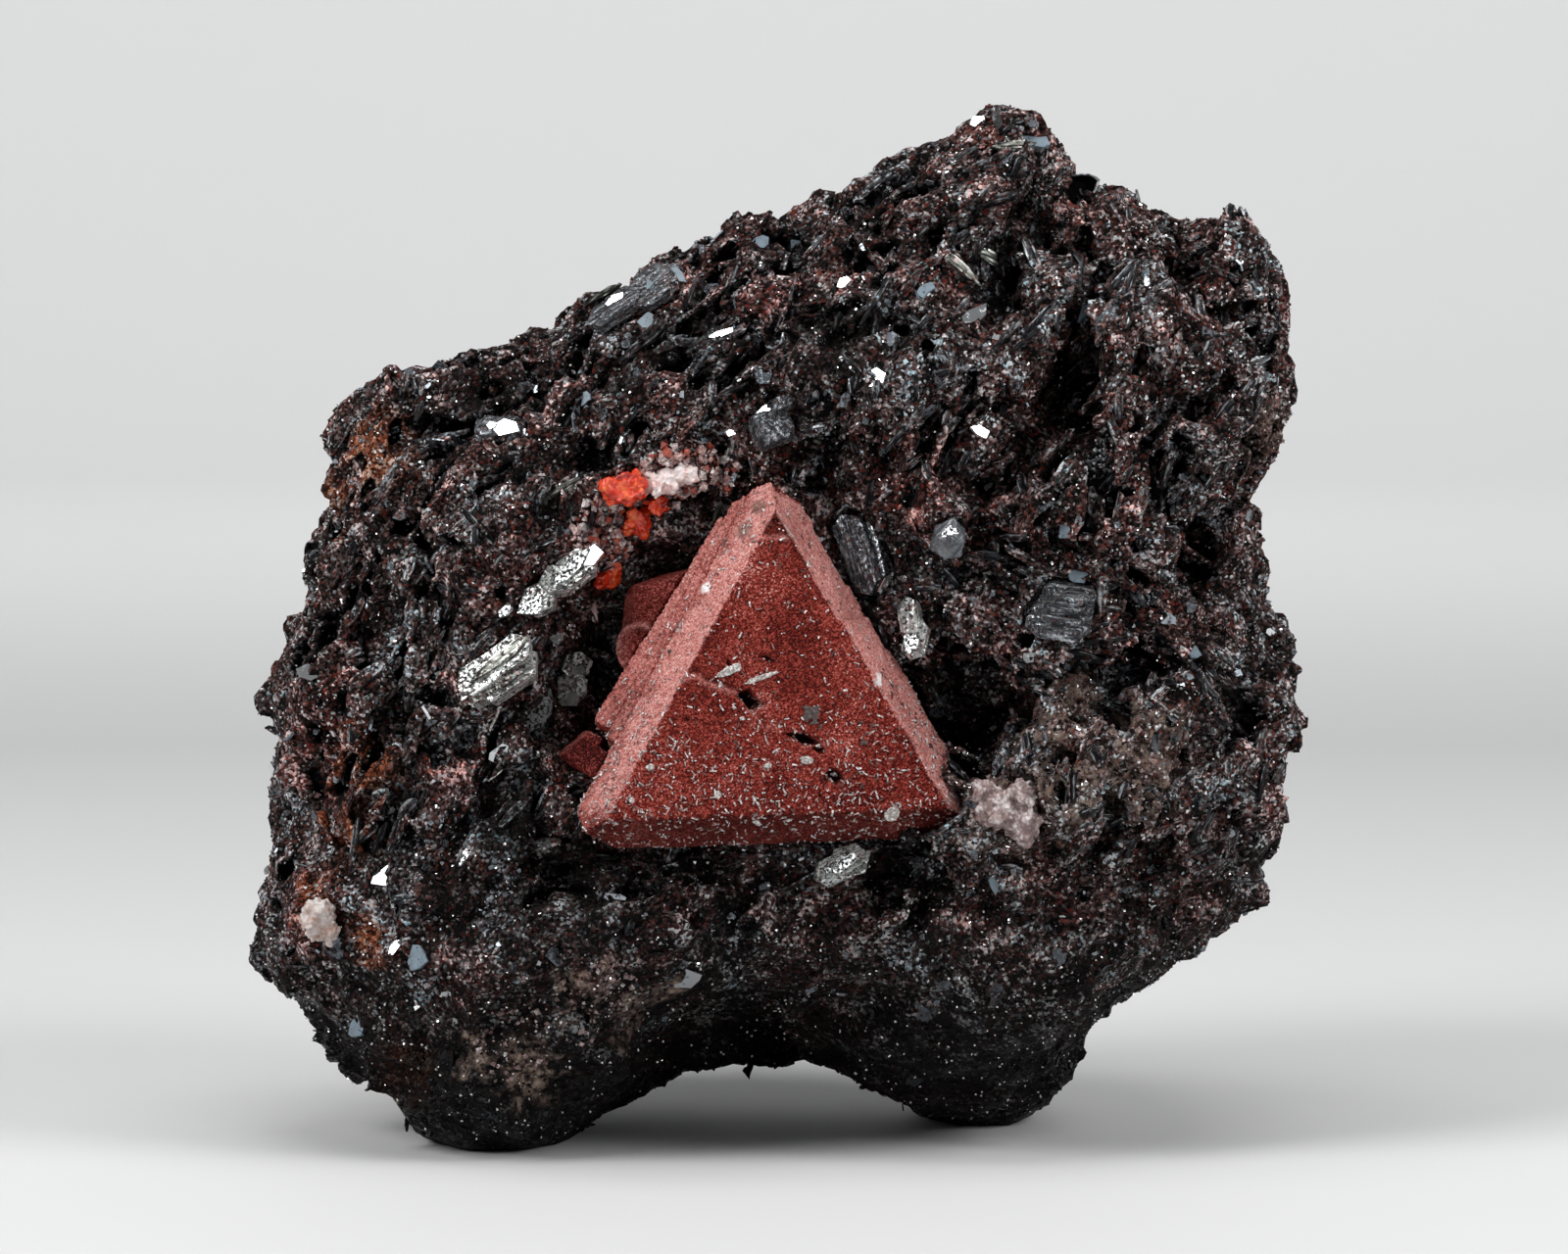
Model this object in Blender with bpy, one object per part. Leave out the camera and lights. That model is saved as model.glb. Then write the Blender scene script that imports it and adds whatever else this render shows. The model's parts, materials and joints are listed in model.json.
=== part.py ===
"""Zunyite specimen: a bevelled tetrahedral zunyite crystal in a hollow of hematite matrix.

Frame: +Z up, the specimen's front faces -Y, +X is to the right when it is seen from the front.
The origin is the centre of the bounding box's bottom. Every length below is in millimetres;
add_node() scales the finished meshes to metres.
"""
import math
import random

import bmesh
import bpy
from mathutils import Matrix, Vector, noise
from mathutils.bvhtree import BVHTree

METRES_PER_MM = 0.001
GAP = 0.3                      # clearance between neighbouring pieces

# ---- Driving dimensions of the matrix -------------------------------------------------------
FRONT_DEPTH = 13.0             # from the widest section to the front
BACK_DEPTH = 17.0              # from the widest section to the back
PROFILE_POWER = 2.7            # 2 is an ellipsoid; more is blockier
BACK_SMOOTHING = 9             # outline points averaged, on each side, where the back is smoothest
OUTLINE_CENTRE = (0.0, 21.0)
RING_POINTS = 120
RING_COUNT = 36
SHAPE_VOXEL = 0.8
DETAIL_VOXEL = 0.55
MATRIX_TRIANGLES = 3250
REST_HEIGHT = 0.0
TO_ORIGIN = (0.0, -1.6, 0.0)   # moves the middle of the finished depth over the origin

# Outline of the widest section seen from the front, as (x, z), clockwise from the peak.
OUTLINE = [
    (9.7, 44.4), (11.0, 42.8), (13.0, 40.9), (14.9, 40.8), (16.0, 39.8), (17.9, 39.8),
    (18.8, 38.8), (21.1, 38.1), (21.3, 35.0), (22.0, 33.3), (21.7, 31.5), (21.5, 29.0),
    (20.3, 27.5), (20.1, 25.0), (20.3, 22.4), (21.9, 20.5), (22.5, 19.1), (22.9, 17.1),
    (21.9, 15.0), (22.1, 13.5), (21.2, 11.6), (21.0, 10.3), (18.9, 8.4), (17.2, 6.6),
    (14.5, 5.1), (12.2, 2.8), (10.1, 1.2), (6.4, 1.0), (2.8, 2.0), (-0.3, 3.1), (-2.4, 2.8),
    (-4.5, 2.1), (-6.6, 0.8), (-8.3, 0.4), (-15.6, 0.0), (-16.8, 1.2), (-19.1, 3.1),
    (-21.2, 5.4), (-22.7, 7.0), (-22.9, 9.4), (-22.1, 10.3), (-22.2, 12.9), (-21.7, 15.4),
    (-21.4, 17.1), (-22.3, 18.3), (-22.1, 20.0), (-20.8, 22.5), (-19.4, 26.3), (-19.2, 28.8),
    (-19.6, 30.5), (-18.5, 31.9), (-15.6, 33.3), (-12.9, 34.1), (-9.4, 34.1), (-9.0, 35.7),
    (-7.2, 36.6), (-5.8, 37.8), (-3.5, 38.2), (-1.9, 39.1), (0.1, 38.7), (1.2, 38.5),
    (1.5, 39.9), (3.4, 41.2), (5.0, 41.3), (5.2, 42.4), (6.8, 42.8), (8.2, 43.7),
]

# Front relief: name, x, z, half length, half width, tilt of the length in degrees, depth.
# A positive depth is a hollow and a negative one a swelling.
FRONT_RELIEF = [
    ("crystal seat", 0.2, 19.3, 8.6, 8.2, 0, 2.6),
    ("hollow above left of the crystal", -3.9, 26.2, 3.2, 1.8, 25, 1.9),
    ("vug left of the crystal", -7.2, 21.5, 3.6, 1.5, 68, 4.2),
    ("vug right of the crystal", 7.6, 19.3, 3.0, 1.7, 112, 4.4),
    ("shadowed band below the crystal", -7.6, 12.4, 4.2, 1.1, 6, 2.8),
    ("pit below the crystal", 4.5, 11.9, 1.4, 0.9, 0, 1.8),
    ("slanting hollow upper left", -12.9, 31.6, 3.2, 1.1, 22, 2.2),
    ("deep vug upper right", 12.5, 33.3, 1.0, 0.7, 60, 6.5),
    ("valley below the deep vug", 10.3, 30.2, 4.4, 1.0, 60, 2.2),
    ("valley at the peak", 10.3, 38.7, 3.2, 0.9, 66, 1.8),
    ("pit above the crystal", 2.1, 32.7, 1.2, 1.1, 0, 2.2),
    ("pit over the crystal's point", 1.9, 29.3, 1.3, 1.0, 0, 1.8),
    ("hollow by the crystal's shoulder", 2.9, 26.0, 2.4, 1.3, 120, 2.0),
    ("pit in the left ridge", -17.2, 22.8, 1.1, 1.0, 0, 1.9),
    ("notch at the left edge", -20.6, 17.6, 1.4, 0.9, 0, 2.0),
    ("pit by the white grain", -17.9, 9.6, 1.1, 1.0, 0, 1.6),
    ("hollow at the right edge", 18.2, 24.6, 1.8, 1.3, 70, 2.4),
    ("pit right of the vug", 14.0, 20.5, 1.4, 1.2, 0, 1.7),
    ("arch under the front", -1.1, 5.0, 6.4, 2.6, 8, 3.4),
    ("left foot bulge", -12.5, 6.5, 6.0, 5.0, 0, -1.6),
    ("right foot bulge", 8.5, 6.8, 6.5, 4.0, 0, -1.4),
    ("upper right mass", 15.5, 29.5, 4.5, 9.0, -20, -1.3),
    ("ridge right of the valley", 6.0, 35.0, 3.0, 6.5, -25, -1.2),
    ("left ridge", -13.5, 25.0, 7.0, 2.2, 62, -1.5),
    ("right shelf", 13.0, 15.5, 6.0, 3.4, 10, -1.6),
]

# Back relief in the same form; the back is a broken, gently faceted face.
BACK_RELIEF = [
    ("broken hollow", -6.0, 26.0, 8.0, 5.0, 30, 3.0),
    ("long ledge", 8.0, 17.0, 9.0, 3.0, -15, -2.0),
    ("pit high on the back", 9.5, 33.0, 2.2, 1.6, 40, 3.2),
    ("pit low on the back", -12.0, 12.0, 2.4, 1.8, 0, 2.8),
    ("upper ledge", -2.0, 35.0, 7.0, 2.0, 20, -1.6),
    ("hollow under the ledge", 3.0, 9.0, 6.0, 2.4, 0, 2.4),
]

# Feet that the specimen stands on: x, y, z and the three half axes of an ellipsoid.
FEET = [
    (-12.0, -1.5, 4.2, 6.0, 8.5, 5.0),
    (8.6, 4.5, 4.4, 4.8, 7.0, 5.1),
]

# Relief noise: wavelength across the flow, stretch along it, and height.
NOISE_LAYERS = [(8.0, 1.5, 1.5), (3.6, 2.0, 1.1), (1.9, 1.6, 0.7)]
LUMP_SIZE = 3.1
LUMP_HEIGHT = 1.5
NOISE_FADE_HEIGHT = 2.0        # the relief fades to nothing over this height above the base
RIM_NOISE = 0.45               # share of the relief's height on surfaces that face sideways
SIDE_DEPTH = 5.0               # the named relief grows to its full depth over this distance
SEAT_FRONT = -10.8             # the matrix stands no further forward than this round the crystal
SEAT_MARGIN = 0.6

# Direction, in degrees, in which the ridges and blades run on each part of the front.
LEFT_FLOW = 62.0
RIGHT_FLOW = 66.0
SHELF_FLOW = -20.0             # on the layered shelf at the right
LOW_FLOW = 20.0                # near the bottom
SHELF_START = 5.0              # the shelf's left end
SHELF_HEIGHTS = (18.0, 26.5)
LOW_HEIGHT = 13.0              # the bottom region ends here

# ---- Hematite blades fused to the matrix ----------------------------------------------------
BLADE_SEED = 4127
FRONT_BLADES = 54
OTHER_BLADES = 26
BLADE_LENGTH = (1.9, 4.2)
BLADE_WIDTH = (1.1, 2.2)
BLADE_THICKNESS = (0.35, 0.6)
BLADE_SCATTER = 24.0           # standard deviation, in degrees, from the flow's direction
BLADE_TILT = 0.55
BLADE_CLEARANCE = 1.1          # distance that fused blades keep from the separate crystals
BLADE_BOUNDS = (20.6, 2.6, 41.4)    # furthest to each side, lowest and highest place of a blade

# ---- The large zunyite crystal ---------------------------------------------------------------
CRYSTAL_FACE_SIDE = 14.4       # side of the triangular front face
CRYSTAL_FACE_CENTRE = (-0.15, -13.4, 19.15)
CRYSTAL_YAW = 15.0             # degrees that the face is turned towards the right
CRYSTAL_ROLL = 0.5             # degrees that the point leans to the left
BEVEL_LEFT = 1.55
BEVEL_RIGHT = 2.6
BEVEL_BOTTOM = 2.4
BACK_BEVEL = 2.3               # width of the three bevels that meet behind
LAYER_BACKSET = 0.15           # how far the growth layers lie behind the crystal's other faces
# Growth layers on the left flank: upper and lower end along the edge, measured down from its middle,
# how far each stands out, how far its bevel lies back, and how much it spreads towards the lower end.
LEFT_LAYERS = [
    (-12.0, 4.8, 0.45, 0.08, 0.0),
    (-6.6, 4.4, 1.02, 0.16, 0.078),
]
ORANGE_CHAMFER = 0.22


# ---- Convex solids from planes -----------------------------------------------------------------
def half_space_solid(planes, grow=0.0):
    """Closed convex solid that lies behind every plane; a plane is (normal, distance)."""
    bm = bmesh.new()
    reach = 6.0 * max(distance for _, distance in planes)
    bmesh.ops.create_cube(bm, size=reach)
    for normal, distance in planes:
        unit = Vector(normal).normalized()
        geometry = bm.verts[:] + bm.edges[:] + bm.faces[:]
        cut = bmesh.ops.bisect_plane(bm, geom=geometry, dist=1e-5, plane_co=unit * (distance + grow),
                                     plane_no=unit, clear_outer=True)
        rim = [item for item in cut["geom_cut"] if isinstance(item, bmesh.types.BMEdge)]
        if rim:
            bmesh.ops.edgeloop_fill(bm, edges=rim)
    bmesh.ops.recalc_face_normals(bm, faces=bm.faces)
    return bm


def tabular(length, width, thickness):
    """Planes of a thin plate with pointed ends: long axis X, flat faces towards +Z and -Z."""
    slant = math.radians(34.0)
    planes = [((0, 0, 1), thickness / 2), ((0, 0, -1), thickness / 2),
              ((0, 1, 0), width / 2), ((0, -1, 0), width / 2)]
    for side in (-1, 1):
        for end in (-1, 1):
            normal = (end * math.cos(slant), side * math.sin(slant), 0.12 * side)
            planes.append((normal, length / 2 * math.cos(slant)))
    return planes


def prism(length, width, point):
    """Planes of a six-sided prism along Z that ends in a six-sided point at +Z."""
    planes = [((0, 0, -1), length / 2)]
    for index in range(6):
        angle = math.radians(60 * index)
        outward = Vector((math.cos(angle), math.sin(angle), 0))
        planes.append((outward, width / 2))
        slope = Vector((point * math.cos(angle), point * math.sin(angle), width / 2))
        tip = Vector((0, 0, length / 2))
        planes.append((slope, slope.normalized().dot(tip)))
    return planes


def block(size_x, size_y, size_z, chamfer):
    """Planes of a box whose eight corners are cut off."""
    half = Vector((size_x, size_y, size_z)) / 2
    planes = []
    for axis in range(3):
        for sign in (-1, 1):
            normal = Vector((0, 0, 0))
            normal[axis] = sign
            planes.append((normal, half[axis]))
    for sx in (-1, 1):
        for sy in (-1, 1):
            for sz in (-1, 1):
                normal = Vector((sx, sy, sz)).normalized()
                corner = Vector((sx * half.x, sy * half.y, sz * half.z))
                planes.append((normal, normal.dot(corner) - chamfer))
    return planes


def grain(size_x, size_y, size_z, seed):
    """Planes of a rough, roundish grain."""
    rng = random.Random(seed)
    planes = []
    for index in range(18):
        height = 1 - 2 * (index + 0.5) / 18
        ring = math.sqrt(1 - height * height)
        angle = index * math.radians(137.5) + rng.uniform(-0.25, 0.25)
        direction = Vector((ring * math.cos(angle), ring * math.sin(angle), height))
        reach = Vector((direction.x * size_x, direction.y * size_y, direction.z * size_z)).length / 2
        planes.append((direction, reach * rng.uniform(0.86, 1.0)))
    return planes


def placed(location, facing, along):
    """Matrix that turns local +Z towards facing and local +X as near to along as it can be."""
    z_axis = Vector(facing).normalized()
    x_axis = Vector(along) - z_axis * Vector(along).dot(z_axis)
    x_axis.normalize()
    y_axis = z_axis.cross(x_axis)
    turn = Matrix((x_axis, y_axis, z_axis)).transposed().to_4x4()
    return Matrix.Translation(location) @ turn


# ---- Zunyite -----------------------------------------------------------------------------------
TETRAHEDRON = ((1, 1, 1), (1, -1, -1), (-1, 1, -1), (-1, -1, 1))
LEFT_FLANK = 3                 # places of these two planes in the list of zunyite_planes()
LEFT_BEVEL = 8


def zunyite_planes(half_edge, bevels, back_bevel):
    """Planes of a tetrahedron whose six edges are cut by the faces of a cube.

    half_edge is the distance from the centre to each uncut edge. bevels are the widths of the three
    strips round the face (1, 1, 1), on the cube faces +X, +Y and +Z.
    """
    planes = [(normal, half_edge / math.sqrt(3)) for normal in TETRAHEDRON]
    for axis in range(3):
        outward = Vector((0, 0, 0))
        outward[axis] = 1
        planes.append((outward, half_edge - bevels[axis] / math.sqrt(2)))
        planes.append((-outward, half_edge - back_bevel / math.sqrt(2)))
    return planes


def zunyite_turn(yaw, roll):
    """Rotation that takes the face (1, 1, 1) to the front, with its +X edge at the bottom."""
    right = Vector((0, 1, -1)).normalized()
    back = -Vector((1, 1, 1)).normalized()
    top = Vector((-2, 1, 1)).normalized()
    upright = Matrix((right, back, top)).to_4x4()
    lean = Matrix.Rotation(math.radians(-roll), 4, "Y")
    return Matrix.Rotation(math.radians(yaw), 4, "Z") @ lean @ upright


def main_crystal_frame():
    """Half edge and bevels of the large crystal, and the matrix that places it."""
    bevels = (BEVEL_BOTTOM, BEVEL_RIGHT, BEVEL_LEFT)
    cuts = [width / math.sqrt(2) for width in bevels]
    mean_cut = sum(cuts) / 3
    face_inradius = CRYSTAL_FACE_SIDE / (2 * math.sqrt(3))
    half_edge = (face_inradius + math.sqrt(1.5) * mean_cut) / math.sqrt(2 / 3)
    centre = Vector([half_edge / 3 - (cut - mean_cut) for cut in cuts])
    turn = zunyite_turn(CRYSTAL_YAW, CRYSTAL_ROLL)
    shift = Vector(CRYSTAL_FACE_CENTRE) - turn @ centre
    return half_edge, bevels, Matrix.Translation(shift) @ turn


def main_crystal_shapes():
    """The large crystal: its main form and the growth layers that step out from its flanks.

    The left edge runs down along (1, -1, 0) in the crystal's own axes.
    """
    half_edge, bevels, matrix = main_crystal_frame()
    body = zunyite_planes(half_edge, bevels, BACK_BEVEL)
    shapes = [(body, matrix)]
    for upper_end, lower_end, outward, back, spread in LEFT_LAYERS:
        layer = [(normal, distance - LAYER_BACKSET) for normal, distance in body]
        left_cut = bevels[2] / math.sqrt(2)
        layer[LEFT_FLANK] = ((-1 - spread, -1 + spread, 1), half_edge / math.sqrt(3) + outward)
        layer[LEFT_BEVEL] = ((0, 0, 1), half_edge - left_cut - back)
        layer.append(((1, -1, 0.12), lower_end))
        layer.append(((-1, 1, 0.2), -upper_end))
        shapes.append((layer, matrix))
    return shapes


# ---- Where every separate crystal is -----------------------------------------------------------
def zunyite_nodes():
    """The large zunyite crystal and its two smaller neighbours."""
    upper = zunyite_planes(2.9, (1.4, 1.6, 1.2), 1.4)
    upper_place = Matrix.Translation((-4.4, -8.8, 23.1)) @ zunyite_turn(-10.0, 24.0)
    lower = zunyite_planes(1.5, (0.4, 0.4, 0.4), 0.5)
    lower_place = Matrix.Translation((-7.2, -10.6, 17.3)) @ zunyite_turn(-30.0, -25.0)
    return [
        ("zunyite_crystal", "zunyite", main_crystal_shapes()),
        ("zunyite_side_upper", "zunyite_dark", [(upper, upper_place)]),
        ("zunyite_side_lower", "zunyite_dark", [(lower, lower_place)]),
    ]


def orange_nodes(seat):
    """Four small, glassy orange-red crystals above left of the large crystal."""
    crystals = [
        ((-6.5, 28.15), (0.2, -1, 0.3), (1, 0, 0.3), (1.75, 1.0, 0.9)),
        ((-5.9, 26.75), (0.1, -1, 0.1), (0.2, 0, 1), (1.0, 0.9, 0.9)),
        ((-5.2, 27.35), (0.5, -1, 0.2), (1, 0, 0.4), (1.0, 0.7, 0.8)),
        ((-7.15, 24.45), (-0.2, -1, 0.1), (0.3, 0, 1), (1.0, 0.8, 0.8)),
    ]
    nodes = []
    for number, ((x, z), facing, along, size) in enumerate(crystals, start=1):
        shape = (block(*size, ORANGE_CHAMFER), placed(seat(x, z, 0.1), facing, along))
        nodes.append((f"orange_crystal_{number}", "orange", [shape]))
    return nodes


def quartz_nodes(seat):
    """Quartz: the spike, the pink and white grains and the grey crystal."""
    spike_at = seat(-7.75, 22.95, 0.15)
    pink_at = seat(-4.7, 28.4, 0.1)
    cluster_at = seat(9.2, 15.1, 0.15)
    white_at = seat(-19.2, 10.2, 0.3)
    grey_at = seat(6.85, 26.4, 0.1)
    spike = (prism(1.35, 0.42, 1.1), placed(spike_at, (0.32, -0.25, -1), (1, 0, 0)))
    pink = [(grain(1.2, 1.1, 1.1, 11), Matrix.Translation(pink_at + Vector((-0.65, 0, -0.1)))),
            (grain(1.3, 1.1, 1.0, 12), Matrix.Translation(pink_at + Vector((0.1, 0.1, 0.1)))),
            (grain(1.1, 1.0, 0.9, 13), Matrix.Translation(pink_at + Vector((0.75, 0, 0.35))))]
    cluster = [(grain(1.8, 1.6, 1.6, 21), Matrix.Translation(cluster_at + Vector((-0.3, 0, 0)))),
               (grain(1.6, 1.5, 1.7, 22), Matrix.Translation(cluster_at + Vector((0.6, 0.1, -0.5)))),
               (grain(1.3, 1.3, 1.3, 23), Matrix.Translation(cluster_at + Vector((0.6, 0, 0.6)))),
               (grain(1.2, 1.2, 1.0, 24), Matrix.Translation(cluster_at + Vector((-0.9, 0.2, 0.7))))]
    white = [(grain(1.5, 1.3, 1.9, 31), Matrix.Translation(white_at)),
             (grain(1.0, 1.0, 1.0, 32), Matrix.Translation(white_at + Vector((0.4, 0, -0.6))))]
    grey = (prism(1.6, 1.25, 0.8), placed(grey_at, (0.2, -0.5, 0.8), (1, 0, 0)))
    return [
        ("quartz_spike", "quartz_clear", [spike]),
        ("quartz_pink", "quartz_pink", pink),
        ("quartz_cluster", "quartz_pink", cluster),
        ("quartz_white", "quartz_white", white),
        ("quartz_grey", "quartz_grey", [grey]),
    ]


def plates(base, specs):
    """Tabular hematite crystals round one place: offset, facing, along and the three sizes."""
    return [(tabular(length, width, thickness), placed(base + Vector(offset), facing, along))
            for offset, facing, along, length, width, thickness in specs]


def hematite_left_nodes(seat):
    """The large hematite crystals left of and above the zunyite."""
    pair_left = seat(-12.0, 30.4, 0.2)
    pair_right = pair_left + Vector((0.85, -0.1, 0))
    pair = [(block(1.2, 1.1, 1.1, 0.35), placed(pair_left, (-0.1, -1, 0.3), (1, 0, 0.1))),
            (block(1.0, 1.0, 1.1, 0.3), placed(pair_right, (0.3, -1, 0.2), (1, 0, -0.2)))]
    long_blade = plates(seat(-11.7, 20.9, 0.25), [
        ((0, 0, 0), (-0.35, -1, 0.45), (1, 0, 0.72), 3.5, 1.25, 0.55),
        ((0.4, 0.2, -0.4), (-0.25, -1, 0.55), (1, 0.1, 0.66), 3.0, 1.5, 0.55),
        ((-0.5, 0.2, -0.8), (-0.4, -1, 0.3), (1, 0, 0.8), 2.2, 1.2, 0.5)])
    cluster = plates(seat(-9.0, 24.4, 0.25), [
        ((0.6, 0, 0.5), (-0.2, -1, 0.35), (0.8, 0, 0.6), 1.9, 1.2, 0.7),
        ((-0.1, 0.1, 0), (0.1, -1, 0.5), (1, 0, 0.2), 1.6, 1.1, 0.6),
        ((-0.9, 0.2, -0.8), (-0.3, -1, 0.3), (1, 0, 0.4), 1.5, 1.1, 0.6)])
    small = plates(seat(-8.6, 20.2, 0.2), [
        ((0.1, 0, 0.45), (0.1, -1, 0.15), (1, 0, 0.3), 1.3, 1.0, 0.5),
        ((-0.1, 0, -0.5), (0.0, -1, 0.2), (1, 0, 0.6), 1.4, 1.2, 0.5)])
    book = plates(seat(-5.4, 36.2, 0.1), [
        ((0, 0, 0), (-0.5, -0.6, 0.7), (0.8, 0, 0.6), 2.4, 1.9, 0.4),
        ((0.2, 0.3, 0.3), (-0.4, -0.6, 0.8), (0.8, 0.1, 0.6), 2.3, 1.8, 0.4),
        ((-1.5, 0.1, -0.8), (-0.5, -0.6, 0.7), (0.9, 0, 0.5), 2.6, 1.4, 0.4)])
    cube_at = seat(-0.4, 30.6, 0.35)
    slab_at = cube_at + Vector((0.3, 0, 0.8))
    cube = [(block(1.35, 1.3, 1.3, 0.2), placed(cube_at, (0.25, -1, 0.35), (1, 0, 0.35))),
            (block(0.9, 0.5, 1.5, 0.1), placed(slab_at, (0.3, -1, 0.6), (1, 0, 0.5)))]
    return [
        ("hematite_pair", "hematite", pair),
        ("hematite_long_blade", "hematite", long_blade),
        ("hematite_cluster_left", "hematite", cluster),
        ("hematite_plates_left", "hematite", small),
        ("hematite_book_top", "hematite", book),
        ("hematite_block", "hematite", cube),
    ]


def hematite_right_nodes(seat):
    """The large hematite crystals right of and below the zunyite."""
    striated = plates(seat(3.5, 25.2, 0.3), [
        ((-0.3, 0, 0.2), (-0.5, -1, 0.2), (0.5, 0, -1), 3.6, 1.3, 0.5),
        ((0.1, 0.1, 0.1), (-0.7, -1, 0.25), (0.5, 0.1, -1), 3.2, 1.4, 0.5),
        ((0.4, 0.2, -0.3), (-0.3, -1, 0.2), (0.45, 0.1, -1), 2.8, 1.3, 0.5)])
    right = plates(seat(5.5, 22.3, 0.2), [
        ((0, 0, -0.4), (-0.2, -1, 0.1), (0.2, 0, 1), 1.7, 0.9, 0.5),
        ((-0.2, 0.1, 0.5), (-0.3, -1, 0.2), (-0.25, 0, 1), 1.6, 0.8, 0.5)])
    below = plates(seat(2.5, 12.6, 0.2), [
        ((0.3, 0, 0.2), (-0.1, -1, 0.5), (1, 0, 0.35), 1.7, 1.1, 0.5),
        ((-0.4, 0.1, -0.2), (0.1, -1, 0.3), (1, 0, 0.5), 1.5, 1.0, 0.5)])
    stack = plates(seat(11.5, 23.2, 0.1), [
        ((-0.15 + 0.15 * layer, 0.12 * layer, -0.6 + 0.42 * layer), (0.1, -0.45, 1), (1, 0, -0.32),
         2.6 - 0.15 * layer, 1.8, 0.48)
        for layer in range(4)])
    return [
        ("hematite_striated_blade", "hematite", striated),
        ("hematite_blade_right", "hematite", right),
        ("hematite_plate_below", "hematite", below),
        ("hematite_stack_right", "hematite", stack),
    ]


def crystal_nodes(seat):
    """Name, material and shapes of each crystal that is a piece of its own.

    seat(x, z, stand_out) is the place that far in front of the matrix's face at (x, z).
    """
    return (zunyite_nodes() + orange_nodes(seat) + quartz_nodes(seat)
            + hematite_left_nodes(seat) + hematite_right_nodes(seat))


# ---- Mesh tools ----------------------------------------------------------------------------------
def mesh_object(bm, name):
    """Object with the mesh of bm, linked to the scene."""
    mesh = bpy.data.meshes.new(name)
    bm.to_mesh(mesh)
    bm.free()
    obj = bpy.data.objects.new(name, mesh)
    bpy.context.scene.collection.objects.link(obj)
    return obj


def apply_modifier(obj, kind, **settings):
    """Give obj one modifier with these settings and make its result the object's mesh."""
    modifier = obj.modifiers.new(kind.title(), kind)
    for key, value in settings.items():
        setattr(modifier, key, value)
    depsgraph = bpy.context.evaluated_depsgraph_get()
    result = bpy.data.meshes.new_from_object(obj.evaluated_get(depsgraph))
    obj.modifiers.clear()
    obj.data = result


def combine(obj, other, operation):
    """Boolean of obj with other, which is used up."""
    apply_modifier(obj, "BOOLEAN", object=other, operation=operation, solver="EXACT")
    bpy.data.objects.remove(other)


def shape_object(planes, matrix, grow=0.0):
    """Object of one convex shape in its place."""
    bm = half_space_solid(planes, grow)
    bm.transform(matrix)
    return mesh_object(bm, "shape")


def joined_shapes(shapes, grow=0.0):
    """One object of all the shapes, joined."""
    first, *others = shapes
    whole = shape_object(*first, grow)
    for planes, matrix in others:
        combine(whole, shape_object(planes, matrix, grow), "UNION")
    return whole


def keep_largest_island(obj):
    """Delete every loose part of the mesh but the largest."""
    bm = bmesh.new()
    bm.from_mesh(obj.data)
    unseen = set(bm.verts)
    islands = []
    while unseen:
        stack = [unseen.pop()]
        island = list(stack)
        while stack:
            for edge in stack.pop().link_edges:
                for vert in edge.verts:
                    if vert in unseen:
                        unseen.remove(vert)
                        stack.append(vert)
                        island.append(vert)
        islands.append(island)
    islands.sort(key=len)
    for island in islands[:-1]:
        bmesh.ops.delete(bm, geom=island, context="VERTS")
    bm.to_mesh(obj.data)
    bm.free()


# ---- Matrix --------------------------------------------------------------------------------------
def outline_radius(angle):
    """Distance from OUTLINE_CENTRE to the outline in the direction of angle."""
    cx, cz = OUTLINE_CENTRE
    polar = sorted((math.atan2(z - cz, x - cx), math.hypot(x - cx, z - cz)) for x, z in OUTLINE)
    turn = 2 * math.pi
    polar = [(polar[-1][0] - turn, polar[-1][1])] + polar + [(polar[0][0] + turn, polar[0][1])]
    for (angle_a, radius_a), (angle_b, radius_b) in zip(polar, polar[1:]):
        if angle_a <= angle <= angle_b:
            share = (angle - angle_a) / (angle_b - angle_a)
            return radius_a + share * (radius_b - radius_a)
    return polar[0][1]


def smoothed(values, reach):
    """Running mean of a closed list over reach neighbours on each side."""
    count = len(values)
    return [sum(values[(i + step) % count] for step in range(-reach, reach + 1)) / (2 * reach + 1)
            for i in range(count)]


def blank():
    """The matrix before its relief: the outline swept into a blocky, rounded mass."""
    bm = bmesh.new()
    cx, cz = OUTLINE_CENTRE
    angles = [2 * math.pi * i / RING_POINTS - math.pi for i in range(RING_POINTS)]
    front_radii = [outline_radius(angle) for angle in angles]
    back_radii = smoothed(front_radii, BACK_SMOOTHING)
    rings = []
    for row in range(1, RING_COUNT):
        around = math.pi * row / RING_COUNT
        depth, radial = -math.cos(around), math.sin(around)
        length = (abs(depth) ** PROFILE_POWER + radial ** PROFILE_POWER) ** (1 / PROFILE_POWER)
        depth, radial = depth / length, radial / length
        y = depth * (FRONT_DEPTH if depth < 0 else BACK_DEPTH)
        back = min(1.0, max(0.0, y / BACK_DEPTH * 2.5 - 0.3))
        radii = [a + back * (b - a) for a, b in zip(front_radii, back_radii)]
        rings.append([bm.verts.new((cx + radial * radius * math.cos(angle), y,
                                    cz + radial * radius * math.sin(angle)))
                      for angle, radius in zip(angles, radii)])
    front_pole = bm.verts.new((cx, -FRONT_DEPTH, cz))
    back_pole = bm.verts.new((cx, BACK_DEPTH, cz))
    for i in range(RING_POINTS):
        j = (i + 1) % RING_POINTS
        bm.faces.new((front_pole, rings[0][i], rings[0][j]))
        bm.faces.new((back_pole, rings[-1][j], rings[-1][i]))
        for near, far in zip(rings, rings[1:]):
            bm.faces.new((near[i], far[i], far[j], near[j]))
    bmesh.ops.recalc_face_normals(bm, faces=bm.faces)
    return mesh_object(bm, "matrix")


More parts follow.
